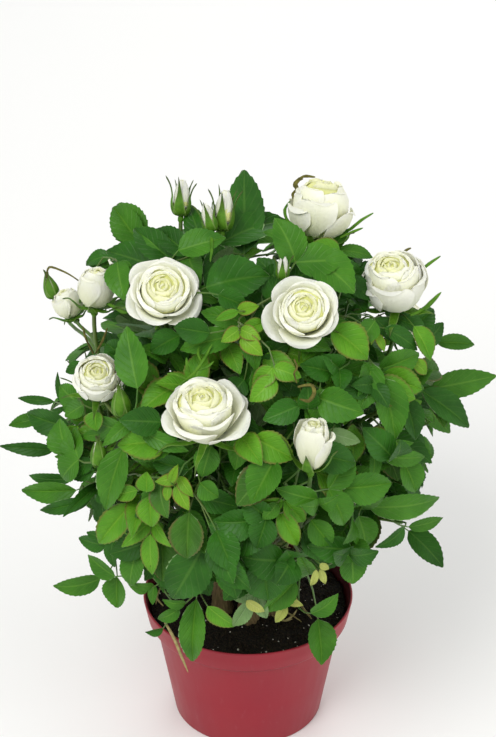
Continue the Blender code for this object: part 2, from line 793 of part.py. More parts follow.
def grow_fill(crown, chance, number, share):
    """Leaves whose tips are spread evenly over a shell of the dome, in golden-angle order."""
    for index in range(number):
        level = FILL_TOP - FILL_SPAN * (index + 0.5) / number
        azimuth = math.degrees(GOLDEN_ANGLE * index) + share * 40.0
        tip = around(azimuth, DOME_MIDDLE + DOME_RISE * level, share)
        tip.z = DOME_MIDDLE + DOME_RISE * level * share
        out = outward(tip)
        sway = out.cross(UP) * chance.uniform(-1.0, 1.0) + UP * chance.uniform(-0.7, 0.5)
        along = (out * FILL_OUTWARD + sway * FILL_ASIDE).normalized()
        length = chance.uniform(*FILL_LENGTH)
        base = tip - along * length
        leaflet = (base, tip, leaf_face(base, tip, UP * FILL_UPWARD + sway * 0.2),
                   length * FILL_WIDTH)
        if inside_front((base, tip)):
            any(grow_spray(crown, mass, leaflet, FILL_LEAFLETS)
                for mass in nearest_masses(crown, base))


def prune(crown):
    """Takes off the twigs that no leaf hangs on."""
    for mass, (twig, piece) in crown.twigs:
        if not any(tuple(place) in crown.taken for place in buds_on(twig)):
            crown.pieces.remove(piece)
            crown.shoots[mass].remove((twig, piece))


def grow():
    """The whole crown, in a fixed order from one seed."""
    chance = random.Random(SEED)
    crown = Crown()
    hearts, lines = plant_canes()
    grow_limbs(crown, lines)
    grow_leading(crown)
    grow_twigs(crown, chance)
    for number, share in FILL_SHELLS:
        grow_fill(crown, chance, number, share)
    prune(crown)
    return crown, hearts


# ---------------------------------------------------------------- Blender objects

def material(name, colour, roughness):
    paint = bpy.data.materials.new(name)
    paint.use_nodes = True
    shader = paint.node_tree.nodes["Principled BSDF"]
    shader.inputs["Base Color"].default_value = (*colour, 1.0)
    shader.inputs["Roughness"].default_value = roughness
    shader.inputs["Metallic"].default_value = 0.0
    return paint


def solid(name, shape, paint, collection):
    """A mesh object from points and faces, its faces turned outwards."""
    verts, faces = shape
    mesh = bpy.data.meshes.new(name)
    mesh.from_pydata([tuple(vert) for vert in verts], [], faces)
    edit = bmesh.new()
    edit.from_mesh(mesh)
    bmesh.ops.recalc_face_normals(edit, faces=edit.faces)
    edit.to_mesh(mesh)
    edit.free()
    mesh.materials.append(paint)
    thing = bpy.data.objects.new(name, mesh)
    collection.objects.link(thing)
    return thing


def islands(edit):
    """The bodies of a mesh that hold together by whole edges, as lists of faces."""
    left = set(edit.faces)
    bodies = []
    while left:
        body = []
        reached = [left.pop()]
        while reached:
            face = reached.pop()
            body.append(face)
            for edge in face.edges:
                if len(edge.link_faces) != 2:
                    continue
                for beside in edge.link_faces:
                    if beside in left:
                        left.remove(beside)
                        reached.append(beside)
        bodies.append(body)
    return bodies


def keep_one_body(mesh):
    """Drops loose scraps and the shells of sealed hollows, and leaves only triangles."""
    edit = bmesh.new()
    edit.from_mesh(mesh)
    bmesh.ops.triangulate(edit, faces=edit.faces)
    for body in sorted(islands(edit), key=len)[:-1]:
        bmesh.ops.delete(edit, geom=body, context="FACES")
    edit.to_mesh(mesh)
    edit.free()


def fuse(name, shapes, paint):
    """One solid from several that reach into each other."""
    whole = solid(name, shapes[0], paint, bpy.context.scene.collection)
    others = bpy.data.collections.new(name + "_others")
    bpy.context.scene.collection.children.link(others)
    for number, shape in enumerate(shapes[1:]):
        solid("%s_%d" % (name, number), shape, paint, others)
    join = whole.modifiers.new("join", "BOOLEAN")
    join.operation = "UNION"
    join.operand_type = "COLLECTION"
    join.collection = others
    join.solver = "MANIFOLD"
    evaluated = whole.evaluated_get(bpy.context.evaluated_depsgraph_get())
    joined = bpy.data.meshes.new_from_object(evaluated)
    whole.modifiers.clear()
    whole.data = joined
    for other in list(others.objects):
        bpy.data.objects.remove(other, do_unlink=True)
    bpy.data.collections.remove(others)
    keep_one_body(joined)


def add_pot(paint):
    """The plastic pot: a thin-walled cup with a soft lip round its rim."""
    inner = POT_RADIUS - POT_WALL
    profile = (
        (POT_FOOT_RADIUS - POT_EDGE, 0.0),
        (POT_FOOT_RADIUS, POT_EDGE),
        (NECK_RADIUS, NECK_HEIGHT),
        (LIP_UNDER_RADIUS, POT_HEIGHT - LIP_HEIGHT),
        (POT_RADIUS, POT_HEIGHT - POT_EDGE),
        (POT_RADIUS - POT_WALL * 0.5, POT_HEIGHT),
        (inner, POT_HEIGHT - POT_EDGE),
        (LIP_UNDER_RADIUS - POT_WALL, POT_HEIGHT - LIP_HEIGHT),
        (NECK_RADIUS - POT_WALL, NECK_HEIGHT),
        (POT_FOOT_RADIUS - POT_WALL, POT_FLOOR),
    )
    shape = turned(profile, POT_SIDES, Vector((0.0, 0.0, 0.0)), UP)
    shape[0][-1] = UP * POT_FLOOR
    solid("pot", shape, paint, bpy.context.scene.collection)


def add_soil(paint):
    """The soil fills the pot up to just under its rim."""
    profile = (
        (POT_FOOT_RADIUS - POT_WALL - GAP, POT_FLOOR + GAP),
        (NECK_RADIUS - POT_WALL - GAP, NECK_HEIGHT),
        (LIP_UNDER_RADIUS - POT_WALL - GAP, POT_HEIGHT - LIP_HEIGHT),
        (LIP_UNDER_RADIUS - POT_WALL + SOIL_CROWN, SOIL_TOP - SOIL_CROWN),
        (STEM_RING + STEM_FOOT_RADIUS * 2.0, SOIL_TOP),
    )
    shape = turned(profile, POT_SIDES, Vector((0.0, 0.0, 0.0)), UP)
    shape[0][-1] = UP * SOIL_TOP
    solid("soil", shape, paint, bpy.context.scene.collection)


def add_stem(name, foot, paint):
    """A short woody stem: flared where it leaves the soil, cut flat at the top."""
    base = SOIL_TOP + GAP
    rings = ((STEM_FOOT_RADIUS, base), (STEM_RADIUS * 1.08, base + 0.005),
             (STEM_RADIUS * 0.94, base + 0.012), (STEM_RADIUS, STEM_TOP))
    shape = turned(rings, STEM_SIDES, foot, UP)
    shape[0][-1] = foot + UP * STEM_TOP
    solid(name, shape, paint, bpy.context.scene.collection)


def build():
    """The whole plant, from an empty scene."""
    for thing in list(bpy.data.objects):
        bpy.data.objects.remove(thing, do_unlink=True)
    scene_objects = bpy.context.scene.collection
    wood = material("wood", WOOD_BROWN, 0.8)
    bark = material("green_bark", CANE_GREEN, 0.5)
    leaf = material("leaf", LEAF_GREEN, 0.4)
    add_pot(material("red_plastic", POT_RED, 0.35))
    add_soil(material("soil", SOIL_BROWN, 0.95))
    crown, hearts = grow()
    for number, heart in enumerate(hearts):
        add_stem("stem_%d" % (number + 1), heart, wood)
    for piece in crown.pieces:
        if piece.mass == "cane":
            solid(piece.kind, (piece.verts, piece.faces), bark, scene_objects)
    for mass, (_, flowers) in MASSES.items():
        shapes = []
        for piece in crown.pieces:
            if piece.mass == mass or piece.mass in flowers:
                shapes.append((piece.verts, piece.faces))
        fuse("foliage_" + mass, shapes, leaf)


build()
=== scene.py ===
"""Looks of a potted miniature rose: leaves, petals, bark, peat and a moulded plastic pot.

Metres, +Z up, the origin at the middle of the pot's flat underside, the plant's front towards -Y.
The crown is grown here again by the rule that gives the solids, with the same seed, and carried
on to finer twigs and leaves. Places in the crown are named in millimetres on a front plane that
leans back by VIEW_TILT: across to the right, up the plane, and how far a thing stands in front
of the dome that rounds off the crown.
"""

import itertools
import random
from math import atan2, cos, degrees, hypot, pi, radians, sin, sqrt, tau

import bmesh
import bpy
import numpy
from mathutils import Matrix, Vector
from mathutils.bvhtree import BVHTree
from mathutils.noise import noise


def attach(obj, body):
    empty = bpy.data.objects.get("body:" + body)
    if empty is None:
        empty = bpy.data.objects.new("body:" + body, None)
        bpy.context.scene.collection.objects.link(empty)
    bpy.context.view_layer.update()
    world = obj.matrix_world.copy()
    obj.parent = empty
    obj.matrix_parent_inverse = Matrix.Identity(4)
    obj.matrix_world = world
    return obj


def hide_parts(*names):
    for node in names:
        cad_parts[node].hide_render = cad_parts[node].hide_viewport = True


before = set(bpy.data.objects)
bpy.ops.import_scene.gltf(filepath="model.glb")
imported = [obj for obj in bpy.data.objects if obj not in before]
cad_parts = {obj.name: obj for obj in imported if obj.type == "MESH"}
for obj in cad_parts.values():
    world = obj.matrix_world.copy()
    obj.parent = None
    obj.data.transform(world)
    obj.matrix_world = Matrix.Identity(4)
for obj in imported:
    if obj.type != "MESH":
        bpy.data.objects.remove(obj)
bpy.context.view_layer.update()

MM = 0.001

# The level of the soil in the pot, and the gap between solids that meet.
SOIL_TOP = 0.071
GAP = 0.0003

# The crown: a dome about the pot's axis.
DOME_RADIUS = 0.118
DOME_RISE = 0.135
DOME_MIDDLE = 0.2
SKIRT = 0.1

# The slanting front plane.
VIEW_TILT = radians(30.0)
VIEW_DISTANCE = 1.3
VIEW_MIDDLE = Vector((0.0, 0.0, 0.225))
ACROSS = Vector((1.0, 0.0, 0.0))
UP_PLANE = Vector((0.0, sin(VIEW_TILT), cos(VIEW_TILT)))
TOWARD = Vector((0.0, -cos(VIEW_TILT), sin(VIEW_TILT)))
UP = Vector((0.0, 0.0, 1.0))

# Stems, canes, shoots, twigs and leaf stalks.
STEM_COUNT = 6
STEM_RING = 0.017
STEM_FOOT_RADIUS = 0.0074
STEM_RADIUS = 0.0054
STEM_TOP = 0.092
CANE_RADIUS = 0.0017
CANE_FOOT_OFFSET = 0.0031
CANE_LEAN = 0.1
FEET_PER_STEM = 4
SUNK = 0.0012
CANE_SHARE = 0.5
CANE_POINTS = 5
CANE_CHECKS = 12
START_PULL = 0.3
END_PULL = 0.34
SHOOT_RISE = 0.4
SHOOT_RADII = (0.0015, 0.0011)
TWIG_RADII = (0.0011, 0.0009)
TWIG_REACH = (0.029, 0.04)
TWIG_SHARE = 0.45
# How far a twig heads outward, along its shoot and up.
TWIG_WEIGHTS = (0.7, 0.5, 0.15)
TWIG_START_PULL = 0.2
TWIG_END_PULL = 0.3
TWIG_LIFT = 0.3
TWIG_TRIES = 6
TWIG_TURN = 1.7
TWIG_INSIDE = 0.112
SIDE_SHOOT_DROP = 0.014
STALK_RADIUS = 0.0008
STALK_TIP_RADIUS = 0.0006
STALK_ROOT_RADIUS = 0.0003
STALK_START_PULL = 0.3
STALK_END_PULL = 0.4
STALK_RISE = 0.08
LONG_STALK = 0.035
LONGEST_STALK = 0.06
LONGEST_LEADING = 0.11
TWIG_PLACES = (1, 2, 3)
BUD_SHARES = (0.25, 0.7)
MOST_BACKWARD = 0.3

# Leaves.
LEAF_THICKNESS = 0.0009
LEAF_SPREAD = 1.2
LEAF_ROOT_RADIUS = 0.0002
LEAF_WIDEST = 0.45
SIDE_LEAF_SIZE = 0.85
SIDE_LEAF_ANGLE = radians(58.0)
PAIR_FIRST = 0.3
PAIR_STEP = 0.62
FILL_LENGTH = (0.025, 0.033)
FILL_WIDTH = 0.62
FILL_LEAFLETS = 3
OVAL_ACROSS = 98.0
OVAL_UP = 96.0
OVAL_MIDDLE = -20.0
FILL_SHELLS = ((130, 0.95), (90, 0.8), (50, 0.6))
SHELL_TURN = 40.0
FILL_TOP = 0.985
FILL_SPAN = 1.7
FILL_OUTWARD = 0.75
FILL_ASIDE = 0.9
FILL_UPWARD = 0.7
FRONT_FACING = 0.9
MOST_SLANT = 0.5
SKIRT_RISE = 0.42
FLOWER_HEART = 0.42
BUD_REACH = 1.3
FLOWER_FRONT = 0.2
FLOWER_SLACK = 2.0
DEPTH_TRIES = (0, 4, -4, 8, -8, 13, 18)
MASSES_TRIED = 4
BUDS_TRIED = 10
CLEARANCE = 0.0004
GOLDEN_ANGLE = pi * (3.0 - sqrt(5.0))
SEED = 13

# Twigs and leaves finer than the solids', and how the looks vary.
CELL = 0.02
FINE_TWIG_REACH = (0.018, 0.034)
FINE_TWIG_SHARES = (0.15, 0.45, 0.8)
FINE_TWIG_WEIGHTS = (0.8, 0.6, 0.2)
FINE_TWIG_RADII = (0.0008, 0.0006)
FINE_BUD_SHARES = (0.12, 0.4, 0.55, 0.85)
FINE_LENGTH = (0.017, 0.026)
FINE_SHELLS = ((900, 0.97), (800, 0.88), (600, 0.78), (500, 0.66), (300, 0.5))
FINE_LEAFLETS = 5
FINE_SKIRT_LEFT = 0.16
FINE_SKIRT_RIGHT = 0.3
SKIRT_TURN = 0.012
# How far the crown's leaves reach from its middle on the front plane, every OUTLINE_STEP degrees
# from the right round by the top, in millimetres.
OUTLINE = (108, 106, 97, 102, 104, 94, 108, 107, 113, 106, 101, 106)
OUTLINE_STEP = 30.0
VEIL_LEAVES = 3600
VEIL_STEPS = (0.7548777, 0.5698403)
VEIL_HEART = 20.0
VEIL_LENGTH = (0.019, 0.03)
VEIL_LAYERS = (0, 4, 9, 15, 22, 30, 40, 52)
LOOKS_SEED = 41
# Where a leaf is tried for standing before a leading one, and the round parts of a leading leaf
# that stay clear: their places along it, and their radius in half widths and millimetres.
LEAF_PROBES = (0.2, 0.55, 0.95)
SHOWN_SHARES = (0.25, 0.55, 0.85)
SHOWN_WIDTH = 0.7
SHOWN_SLACK = 1.5


def seen(across, up, toward):
    """The point at a place of the front plane, as the eye VIEW_DISTANCE away sees it."""
    eye = VIEW_MIDDLE + TOWARD * VIEW_DISTANCE
    flat = VIEW_MIDDLE + (ACROSS * across + UP_PLANE * up) * MM
    return eye + (flat - eye) * (1.0 - toward * MM / VIEW_DISTANCE)


def dome_front(across, up):
    """How far, in millimetres, the dome's near side stands out of the front plane."""
    lean = sin(VIEW_TILT)
    upright = cos(VIEW_TILT)
    side = across * MM
    back = up * MM * lean
    rise = VIEW_MIDDLE.z - DOME_MIDDLE + up * MM * upright
    square = (upright / DOME_RADIUS) ** 2 + (lean / DOME_RISE) ** 2
    half = (rise * lean) / DOME_RISE ** 2 - (back * upright) / DOME_RADIUS ** 2
    rest = (side ** 2 + back ** 2) / DOME_RADIUS ** 2 + (rise / DOME_RISE) ** 2 - 1.0
    root = sqrt(max(0.0, half ** 2 - square * rest))
    return (root - half) / square / MM


def front(across, up, out=0.0):
    """A place on the near side of the dome, or so far in front of it."""
    return seen(across, up, dome_front(across, up) + out)


def around(azimuth, height, share=1.0):
    """A place round the crown: azimuth in degrees from +X, height in metres."""
    level = (height - DOME_MIDDLE) / DOME_RISE
    radius = DOME_RADIUS * share * sqrt(max(0.0, 1.0 - level ** 2))
    turn = radians(azimuth)
    return Vector((radius * cos(turn), radius * sin(turn), height))


def facing(across, up, toward):
    """A direction named on the front plane."""
    return (ACROSS * across + UP_PLANE * up + TOWARD * toward).normalized()


def outward(place):
    """The dome's own outward direction at a place."""
    gradient = Vector((place.x / DOME_RADIUS ** 2, place.y / DOME_RADIUS ** 2,
                       (place.z - DOME_MIDDLE) / DOME_RISE ** 2))
    return gradient.normalized()


# The tints of leaves: dull deep green, mid green, bright green, red-edged young green, leaves
# that turn their pale underside out, olive, and yellowed ones.
DEEP, MID, LIGHT, YOUNG, PALE, OLIVE, YELLOWED = range(7)

# Each flower: its form, width in millimetres, middle, and the way it faces.
FLOWERS = {
    "b1": ("open", 41, front(-46, 42, 3), facing(0.05, 0.4, 1.0)),
    "b2": ("open", 41, front(29, 32, 3), facing(-0.05, 0.3, 1.0)),
    "b3": ("open", 50, front(-25, -24, 3), facing(0.0, 1.0, 1.0)),
    "b4": ("cup", 34, front(40, 87, 2), facing(0.1, 1.0, 0.5)),
    "b5": ("cup", 34, front(80, 46, 3), facing(-0.1, 0.8, 0.8)),
    "b6": ("cup", 25, front(-83, -5, 2), facing(0.05, 0.6, 1.0)),
    "b7": ("cup", 20, front(-83, 44, 2), facing(0.1, 1.0, 0.4)),
    "b7_side": ("cup", 15, front(-99, 35, 2), facing(-0.4, 0.9, 0.4)),
    "b7_bud": ("bud", 7, front(-107, 44, 2), facing(-0.3, 1.0, 0.1)),
    "b8": ("bud", 20, front(35, -42, 6), facing(0.05, 1.0, 0.6)),
    "top_bud": ("bud", 11, front(-36, 93, 2), facing(0.05, 1.0, 0.1)),
    "top_side": ("bud", 14, front(-15, 86, 4), facing(0.1, 1.0, 0.2)),
    "small": ("bud", 7, front(19, 55), facing(0.05, 1.0, 0.3)),
    "green": ("bud", 9, front(-69, -18), facing(-0.1, 1.0, 0.3)),
    "yellow": ("bud", 8, front(-81, -46, -2), facing(-0.05, 1.0, 0.3)),
    "rear_left_bloom": ("open", 38, around(128, 0.236), outward(around(128, 0.28))),
    "rear_bloom": ("cup", 32, around(84, 0.212), outward(around(84, 0.28))),
    "rear_right_bloom": ("open", 36, around(40, 0.21), outward(around(40, 0.26))),
    "rear_bud": ("bud", 15, around(143, 0.176), outward(around(143, 0.29))),
}
# Each form's height as a share of its width, its sides, and its outline upwards.
FORMS = {
    "open": (0.62, 8, ((0.16, 0.0), (0.98, 0.56), (0.86, 0.9))),
    "cup": (0.86, 8, ((0.22, 0.0), (1.0, 0.48), (0.82, 0.9))),
    "bud": (1.75, 6, ((0.26, 0.0), (1.0, 0.34), (0.56, 0.8))),
}

# Each mass: where its shoot ends if not at a flower, and the flowers it carries.
MASSES = {
    "upper_left": (None, ("b1",)),
    "top": (None, ("top_bud", "top_side")),
    "upper_right": (None, ("b4",)),
    "right_bloom": (None, ("b5",)),
    "middle": (None, ("b2", "small")),
    "front_left": (None, ("b3",)),
    "front_right": (None, ("b8",)),
    "left": (None, ("b6", "green", "yellow")),
    "left_bud": (None, ("b7", "b7_side", "b7_bud")),
    "right": (front(104, -6, -12), ()),
    "right_face": (front(74, -22, -10), ()),
    "lower_right": (front(86, -84, -10), ()),
    "low_right": (front(42, -112, -12), ()),
    "lower_left": (front(-78, -74, -10), ()),
    "low_left": (front(-34, -98, -12), ()),
    "rear_left": (None, ("rear_left_bloom",)),
    "rear": (None, ("rear_bloom",)),
    "rear_right": (None, ("rear_right_bloom",)),
    "rear_top": (around(98, 0.262, 0.62), ()),
    "rear_low_left": (None, ("rear_bud",)),
    "rear_low": (around(100, 0.16, 0.85), ()),
    "rear_low_right": (around(48, 0.15, 0.85), ()),
}

# The leading leaves, which give the crown its outline and its face: base and tip (across, up),
# width, leaflets, and how far the leaf lies behind the dome.
TOP_LEAVES = (
    (-2, 62, -2, 108, 21, 3, 10, DEEP), (-23, 62, -32, 89, 13, 3, 14, DEEP),
    (-58, 67, -73, 88, 16, 3, 14, MID), (-41, 58, -61, 76, 15, 3, 6, MID),
    (32, 67, 8, 74, 9, 3, 12, MID), (49, 64, 68, 60, 8, 3, 16, MID),
    (-23, 44, 12, 50, 23, 1, 2, DEEP), (34, 61, 58, 41, 21, 3, 2, MID),
    (-71, 58, -64, 40, 14, 1, 10, MID), (-75, 56, -88, 58, 7, 1, 16, MID),
)
RIGHT_LEAVES = (
    (99, -11, 135, -4, 15, 3, 2, MID), (102, 14, 123, 13, 9, 3, 12, MID),
    (94, -12, 120, -32, 15, 3, 8, DEEP), (96, 13, 106, 25, 10, 1, 12, DEEP),
    (45, 22, 65, 5, 18, 3, 1, LIGHT), (73, -5, 80, -39, 18, 3, 0, MID),
    (90, 23, 99, 4, 12, 3, 2, LIGHT), (47, 1, 76, -11, 14, 3, 2, MID),
    (70, -1, 93, 8, 13, 3, 6, MID), (85, -16, 91, -39, 13, 1, 8, DEEP),
    (73, -48, 96, -48, 9, 3, 6, MID),
)
LEFT_LEAVES = (
    (-60, -11, -66, 23, 17, 1, -6, MID), (-105, -44, -135, -42, 8, 1, 10, DEEP),
    (-113, -27, -130, -31, 8, 1, 10, MID), (-105, -18, -125, -16, 5, 3, 14, DEEP),
    (-96, -47, -102, -27, 17, 3, 4, MID), (-67, -42, -77, -77, 16, 3, 0, MID),
    (-58, -34, -32, -45, 9, 3, 2, MID), (-93, -66, -123, -66, 12, 3, 2, MID),
    (-85, -71, -113, -77, 8, 3, 6, DEEP), (-63, -73, -81, -95, 15, 3, 0, LIGHT),
    (-77, -96, -92, -92, 10, 3, 8, DEEP), (-80, -114, -106, -118, 13, 3, 4, MID),
    (-71, -113, -71, -130, 14, 1, 4, MID), (-60, -98, -64, -118, 13, 1, 8, MID),
    (-72, -113, -87, -101, 12, 1, 8, MID),
)
FACE_LEAVES = (
    (9, 25, -5, 19, 8, 3, 2, LIGHT), (-4, 17, 8, 7, 9, 3, 1, YOUNG),
    (15, -5, 1, -18, 12, 3, 2, LIGHT), (-7, 18, -37, 10, 13, 3, 8, MID),
    (3, -37, 25, -49, 16, 3, 1, LIGHT), (-20, -42, -25, -59, 13, 3, 3, MID),
    (-39, -63, -32, -77, 8, 3, 1, YOUNG), (-32, -78, -33, -103, 18, 1, 1, OLIVE),
    (-24, -96, -41, -125, 23, 3, 2, DEEP), (-53, -90, -52, -112, 10, 3, 1, LIGHT),
    (4, -82, -18, -83, 17, 3, 4, DEEP), (38, -71, 15, -65, 11, 3, 4, MID),
    (17, -77, 27, -96, 11, 3, 1, LIGHT),
)
LOW_LEAVES = (
    (65, -75, 104, -70, 14, 3, 8, MID), (51, -65, 78, -62, 17, 3, 0, MID),
    (87, -88, 106, -108, 14, 3, 4, DEEP), (60, -80, 64, -97, 15, 1, 8, MID),
    (56, -100, 57, -117, 15, 3, 4, MID), (8, -103, 11, -126, 22, 3, 0, DEEP),
    (84, -50, 91, -67, 14, 1, 6, MID), (87, -86, 106, -81, 8, 1, 6, MID),
    (26, -115, 8, -132, 12, 3, 6, MID), (34, -133, 49, -122, 11, 1, 4, MID),
    (38, -136, 40, -161, 16, 1, -6, MID), (-28, -125, -30, -159, 14, 3, -6, MID),
)
# Further leaves of the front, on finer twigs than the solids have.
FINE_LEAVES = (
    (-58, 67, -70, 90, 20, 3, 14, MID), (-41, 58, -62, 76, 15, 3, 4, DEEP),
    (-71, 58, -67, 37, 14, 1, 10, MID), (-75, 55, -88, 58, 7, 1, 16, MID),
    (50, 64, 33, 67, 10, 1, 2, LIGHT), (53, 48, 67, 37, 11, 3, 14, DEEP),
    (89, 4, 97, -3, 8, 3, 4, YOUNG), (78, -48, 62, -32, 15, 3, 8, DEEP),
    (56, -98, 32, -96, 15, 3, 6, DEEP),
    (-22, -129, -7, -140, 11, 1, 0, LIGHT), (1, -126, -8, -140, 9, 3, 4, PALE),
    (20, -104, -4, -102, 20, 3, 4, DEEP), (-26, -62, -16, -70, 11, 1, 2, MID),
    (-3, -36, -7, -55, 11, 3, 4, MID),
    (-68, -34, -91, -37, 7, 3, 4, MID), (-83, -23, -82, -34, 11, 1, 4, LIGHT),
    (-96, -32, -120, -24, 14, 1, 6, DEEP), (-93, -18, -102, -9, 12, 3, 10, MID),
    (-89, 2, -99, -2, 7, 1, 14, DEEP),
    (-68, 7, -77, 14, 11, 3, 12, DEEP), (-85, -46, -105, -48, 7, 1, 8, MID),
    (-83, -56, -100, -54, 11, 3, 8, DEEP), (-54, -120, -65, -117, 7, 3, 8, MID),
    (-46, -141, -56, -143, 6, 3, 0, DEEP), (-37, -130, -49, -136, 8, 3, 4, MID),
    (66, -13, 49, -7, 11, 3, 10, DEEP), (46, -2, 28, 2, 13, 3, 10, DEEP),
    (-37, 18, -53, 9, 13, 3, 10, DEEP), (16, -73, 8, -82, 8, 1, 2, MID),
    (69, 19, 74, 9, 5, 3, 2, YOUNG), (69, 26, 59, 13, 11, 1, 4, MID),
    (38, -37, 31, -20, 8, 1, 8, MID), (42, -34, 61, -40, 8, 1, 4, PALE),
    (-32, -55, -53, -49, 12, 3, 8, DEEP), (-2, -6, -11, -16, 12, 1, 8, DEEP),
    (34, -82, 45, -96, 13, 3, 6, MID),
    (28, -20, 8, -28, 13, 3, 10, DEEP), (-50, 55, -77, 64, 17, 3, 14, DEEP),
    (-74, 61, -88, 56, 9, 1, 16, DEEP), (78, 28, 97, 19, 10, 3, 12, DEEP),
    (74, 22, 92, 10, 10, 3, 14, DEEP), (69, 27, 82, 14, 10, 3, 14, DEEP),
    (74, 30, 97, 26, 12, 1, 14, DEEP), (17, 46, 5, 60, 13, 3, 16, DEEP),
    (8, 43, 21, 56, 12, 1, 18, DEEP), (14, 30, -3, 38, 14, 1, 14, DEEP),
    (-5, 31, 9, 46, 15, 1, 20, DEEP),
    (88, 22, 101, 32, 12, 1, 10, DEEP), (30, -88, 46, -104, 14, 3, 8, DEEP),
    (52, -88, 40, -101, 13, 1, 6, MID), (37, -109, 34, -118, 4, 1, 2, YELLOWED),
    (-1, -126, 9, -132, 6, 1, 0, YELLOWED), (20, -127, 15, -138, 6, 3, 0, YELLOWED),
    (39, -109, 42, -117, 4, 1, 2, YELLOWED), (39, -106, 44, -109, 4, 1, 3, YELLOWED),
    (12, 36, 16, 50, 12, 1, 6, DEEP), (22, 45, 34, 54, 12, 1, 10, DEEP),
    (-38, 64, -12, 71, 15, 1, 0, MID), (-6, 31, 6, 34, 7, 1, 0, YOUNG),
    (-5, 31, -18, 26, 5, 1, 0, LIGHT), (-16, 40, 0, 33, 11, 1, 2, DEEP),
    (-42, -62, -38, -52, 5, 1, 0, YOUNG), (-43, -63, -44, -72, 5, 1, 0, YOUNG),
    (85, -86, 69, -97, 8, 1, 6, DEEP), (-84, -50, -97, -56, 9, 1, 8, DEEP),
    (-95, -60, -119, -58, 7, 1, 12, DEEP), (-53, -69, -52, -86, 13, 1, 2, LIGHT),
    (-60, -66, -74, -69, 9, 1, 2, LIGHT), (-55, -67, -55, -56, 10, 1, 2, LIGHT),
)
# Withered curls, dead twigs, curled green tips and the spikes of a young shoot: what each is of,
# its thickest radius in millimetres, how far before the front plane it starts and ends (None lies
# on the soil), and its course over the front plane (across, up).
STRANDS = (
    ("brown", 0.9, (54, 53), ((24.6, 92), (24.4, 95), (26.6, 97.5), (26.2, 101), (30, 103))),
    ("brown", 0.7, (53, 52), ((26, 100), (30, 104.3), (36.5, 104))),
    ("brown", 0.6, (53, 53), ((26.4, 97), (25, 100), (28, 103.8))),
    ("green", 0.9, (54, 54), ((29, 75), (21.8, 80), (20, 86), (22.8, 91))),
    ("green", 0.9, (54, 50), ((51.5, 73), (56, 76), (61.5, 80.5), (68, 84.5))),
    ("green", 0.8, (58, 56), ((50, 71), (56.5, 74), (62.5, 76.3))),
    ("green", 1.1, (78, 92), ((-21, 76), (-19.5, 68), (-20.5, 58))),
    ("brown", 0.8, (57, 56), ((83, 59), (85, 63.5), (88.5, 65.5))),
    ("green", 1.0, (52, 46), ((90, 48), (94, 53), (98.5, 57), (104.5, 61))),
    ("green", 1.5, (60, 54), ((88, 29), (95, 32), (100, 36.5), (105, 41.5))),
    ("brown", 0.4, (111, 112), ((25, 5), (26.6, 1), (25, -3), (26.6, -8))),
    ("brown", 1.2, (112, 113), ((27, -10), (34, -9), (36, -13), (33, -17.5), (28, -16.5))),
    ("green", 0.9, (104, 105), ((-37, -9), (-29, -2), (-24, 5), (-19.5, 13))),
    ("green", 0.8, (104, 105), ((-31, -4), (-33, 1), (-33.5, 6))),
    ("green", 0.8, (104, 105), ((-28, -1), (-22, 1), (-18.5, 4))),
    ("green", 0.8, (104, 105), ((-33, -6), (-40, -3), (-44, -3))),
    ("green", 0.7, (104, 105), ((-25, 3), (-27, 8), (-26.5, 12))),
    ("green", 1.3, (58, 64), ((-80, 37), (-73, 33.5), (-67, 30.5), (-63.5, 31.5))),
    ("brown", 0.5, (56, 28), ((-91, 47), (-99.4, 52.4), (-108, 55), (-109.3, 49))),
    ("brown", 0.6, (60, 62), ((-84, 8), (-88, 16), (-89.8, 23))),
    ("brown", 0.6, (62, 60), ((-83, 8), (-79, 15), (-76.5, 22))),
    ("dry", 1.1, (-26, -38.5), ((-45, -138), (-40, -147), (-32.5, -165))),
    ("dry", 0.7, None, ((-51, -118), (-50, -124), (-46, -129))),
    ("dry", 0.6, None, ((-47, -118), (-49, -123), (-50, -128))),
    ("dry", 0.8, None, ((24, -122), (29, -129), (34.5, -136))),
    ("dry", 0.5, None, ((17, -131), (23, -133.5), (29, -137.5))),
    ("dry", 0.5, None, ((20, -137), (24, -134.5), (26.5, -131))),
    ("dry", 0.5, None, ((13, -134), (19, -137), (24, -136))),
)

LEADING_LEAVES = TOP_LEAVES + RIGHT_LEAVES + LEFT_LEAVES + LOW_LEAVES + FACE_LEAVES
# Round windows of the front plane, (across, up, radius), that the light shines through.
SKY_WINDOWS = ((55, -28, 4), (66, -29, 5), (77, -56, 4), (76, -82, 5), (-86, -64, 4),
               (-68, -110, 3))
# Windows that only the finer twigs and leaves keep clear of.
FINE_WINDOWS = ((-94, 19, 9), (-98, 29, 5), (-77, 19, 4))


# ---------------------------------------------------------------- solids as points and faces

def frames_along(points, start, end):
    """The direction and one steady sideways direction at each point of a line."""
    frames = []
    side = None
    for index in range(len(points)):
        ahead = points[min(index + 1, len(points) - 1)]
        behind = points[max(index - 1, 0)]
        along = (ahead - behind).normalized()
        if index == 0 and start is not None:
            along = start
        if index == len(points) - 1 and end is not None:
            along = end
        if side is None:
            side = along.orthogonal().normalized()
        side = (side - along * side.dot(along)).normalized()
        frames.append((along, side))
    return frames


def ring_faces(rings, sides):
    """Four-sided faces between rings of points that follow one another."""
    faces = []
    for ring in range(rings - 1):
        for corner in range(sides):
            here = ring * sides + corner
            beside = ring * sides + (corner + 1) % sides
            faces.append((here, beside, beside + sides, here + sides))
    return faces


def point_faces(first, sides):
    """Triangles from a last ring of points, whose first is named, to the tip after it."""
    return [(first + corner, first + (corner + 1) % sides, first + sides)
            for corner in range(sides)]


def spoke(axis, turn):
    """The direction from an axis that is turned so far round it."""
    side = axis.orthogonal().normalized()
    return side * cos(turn) + axis.cross(side) * sin(turn)


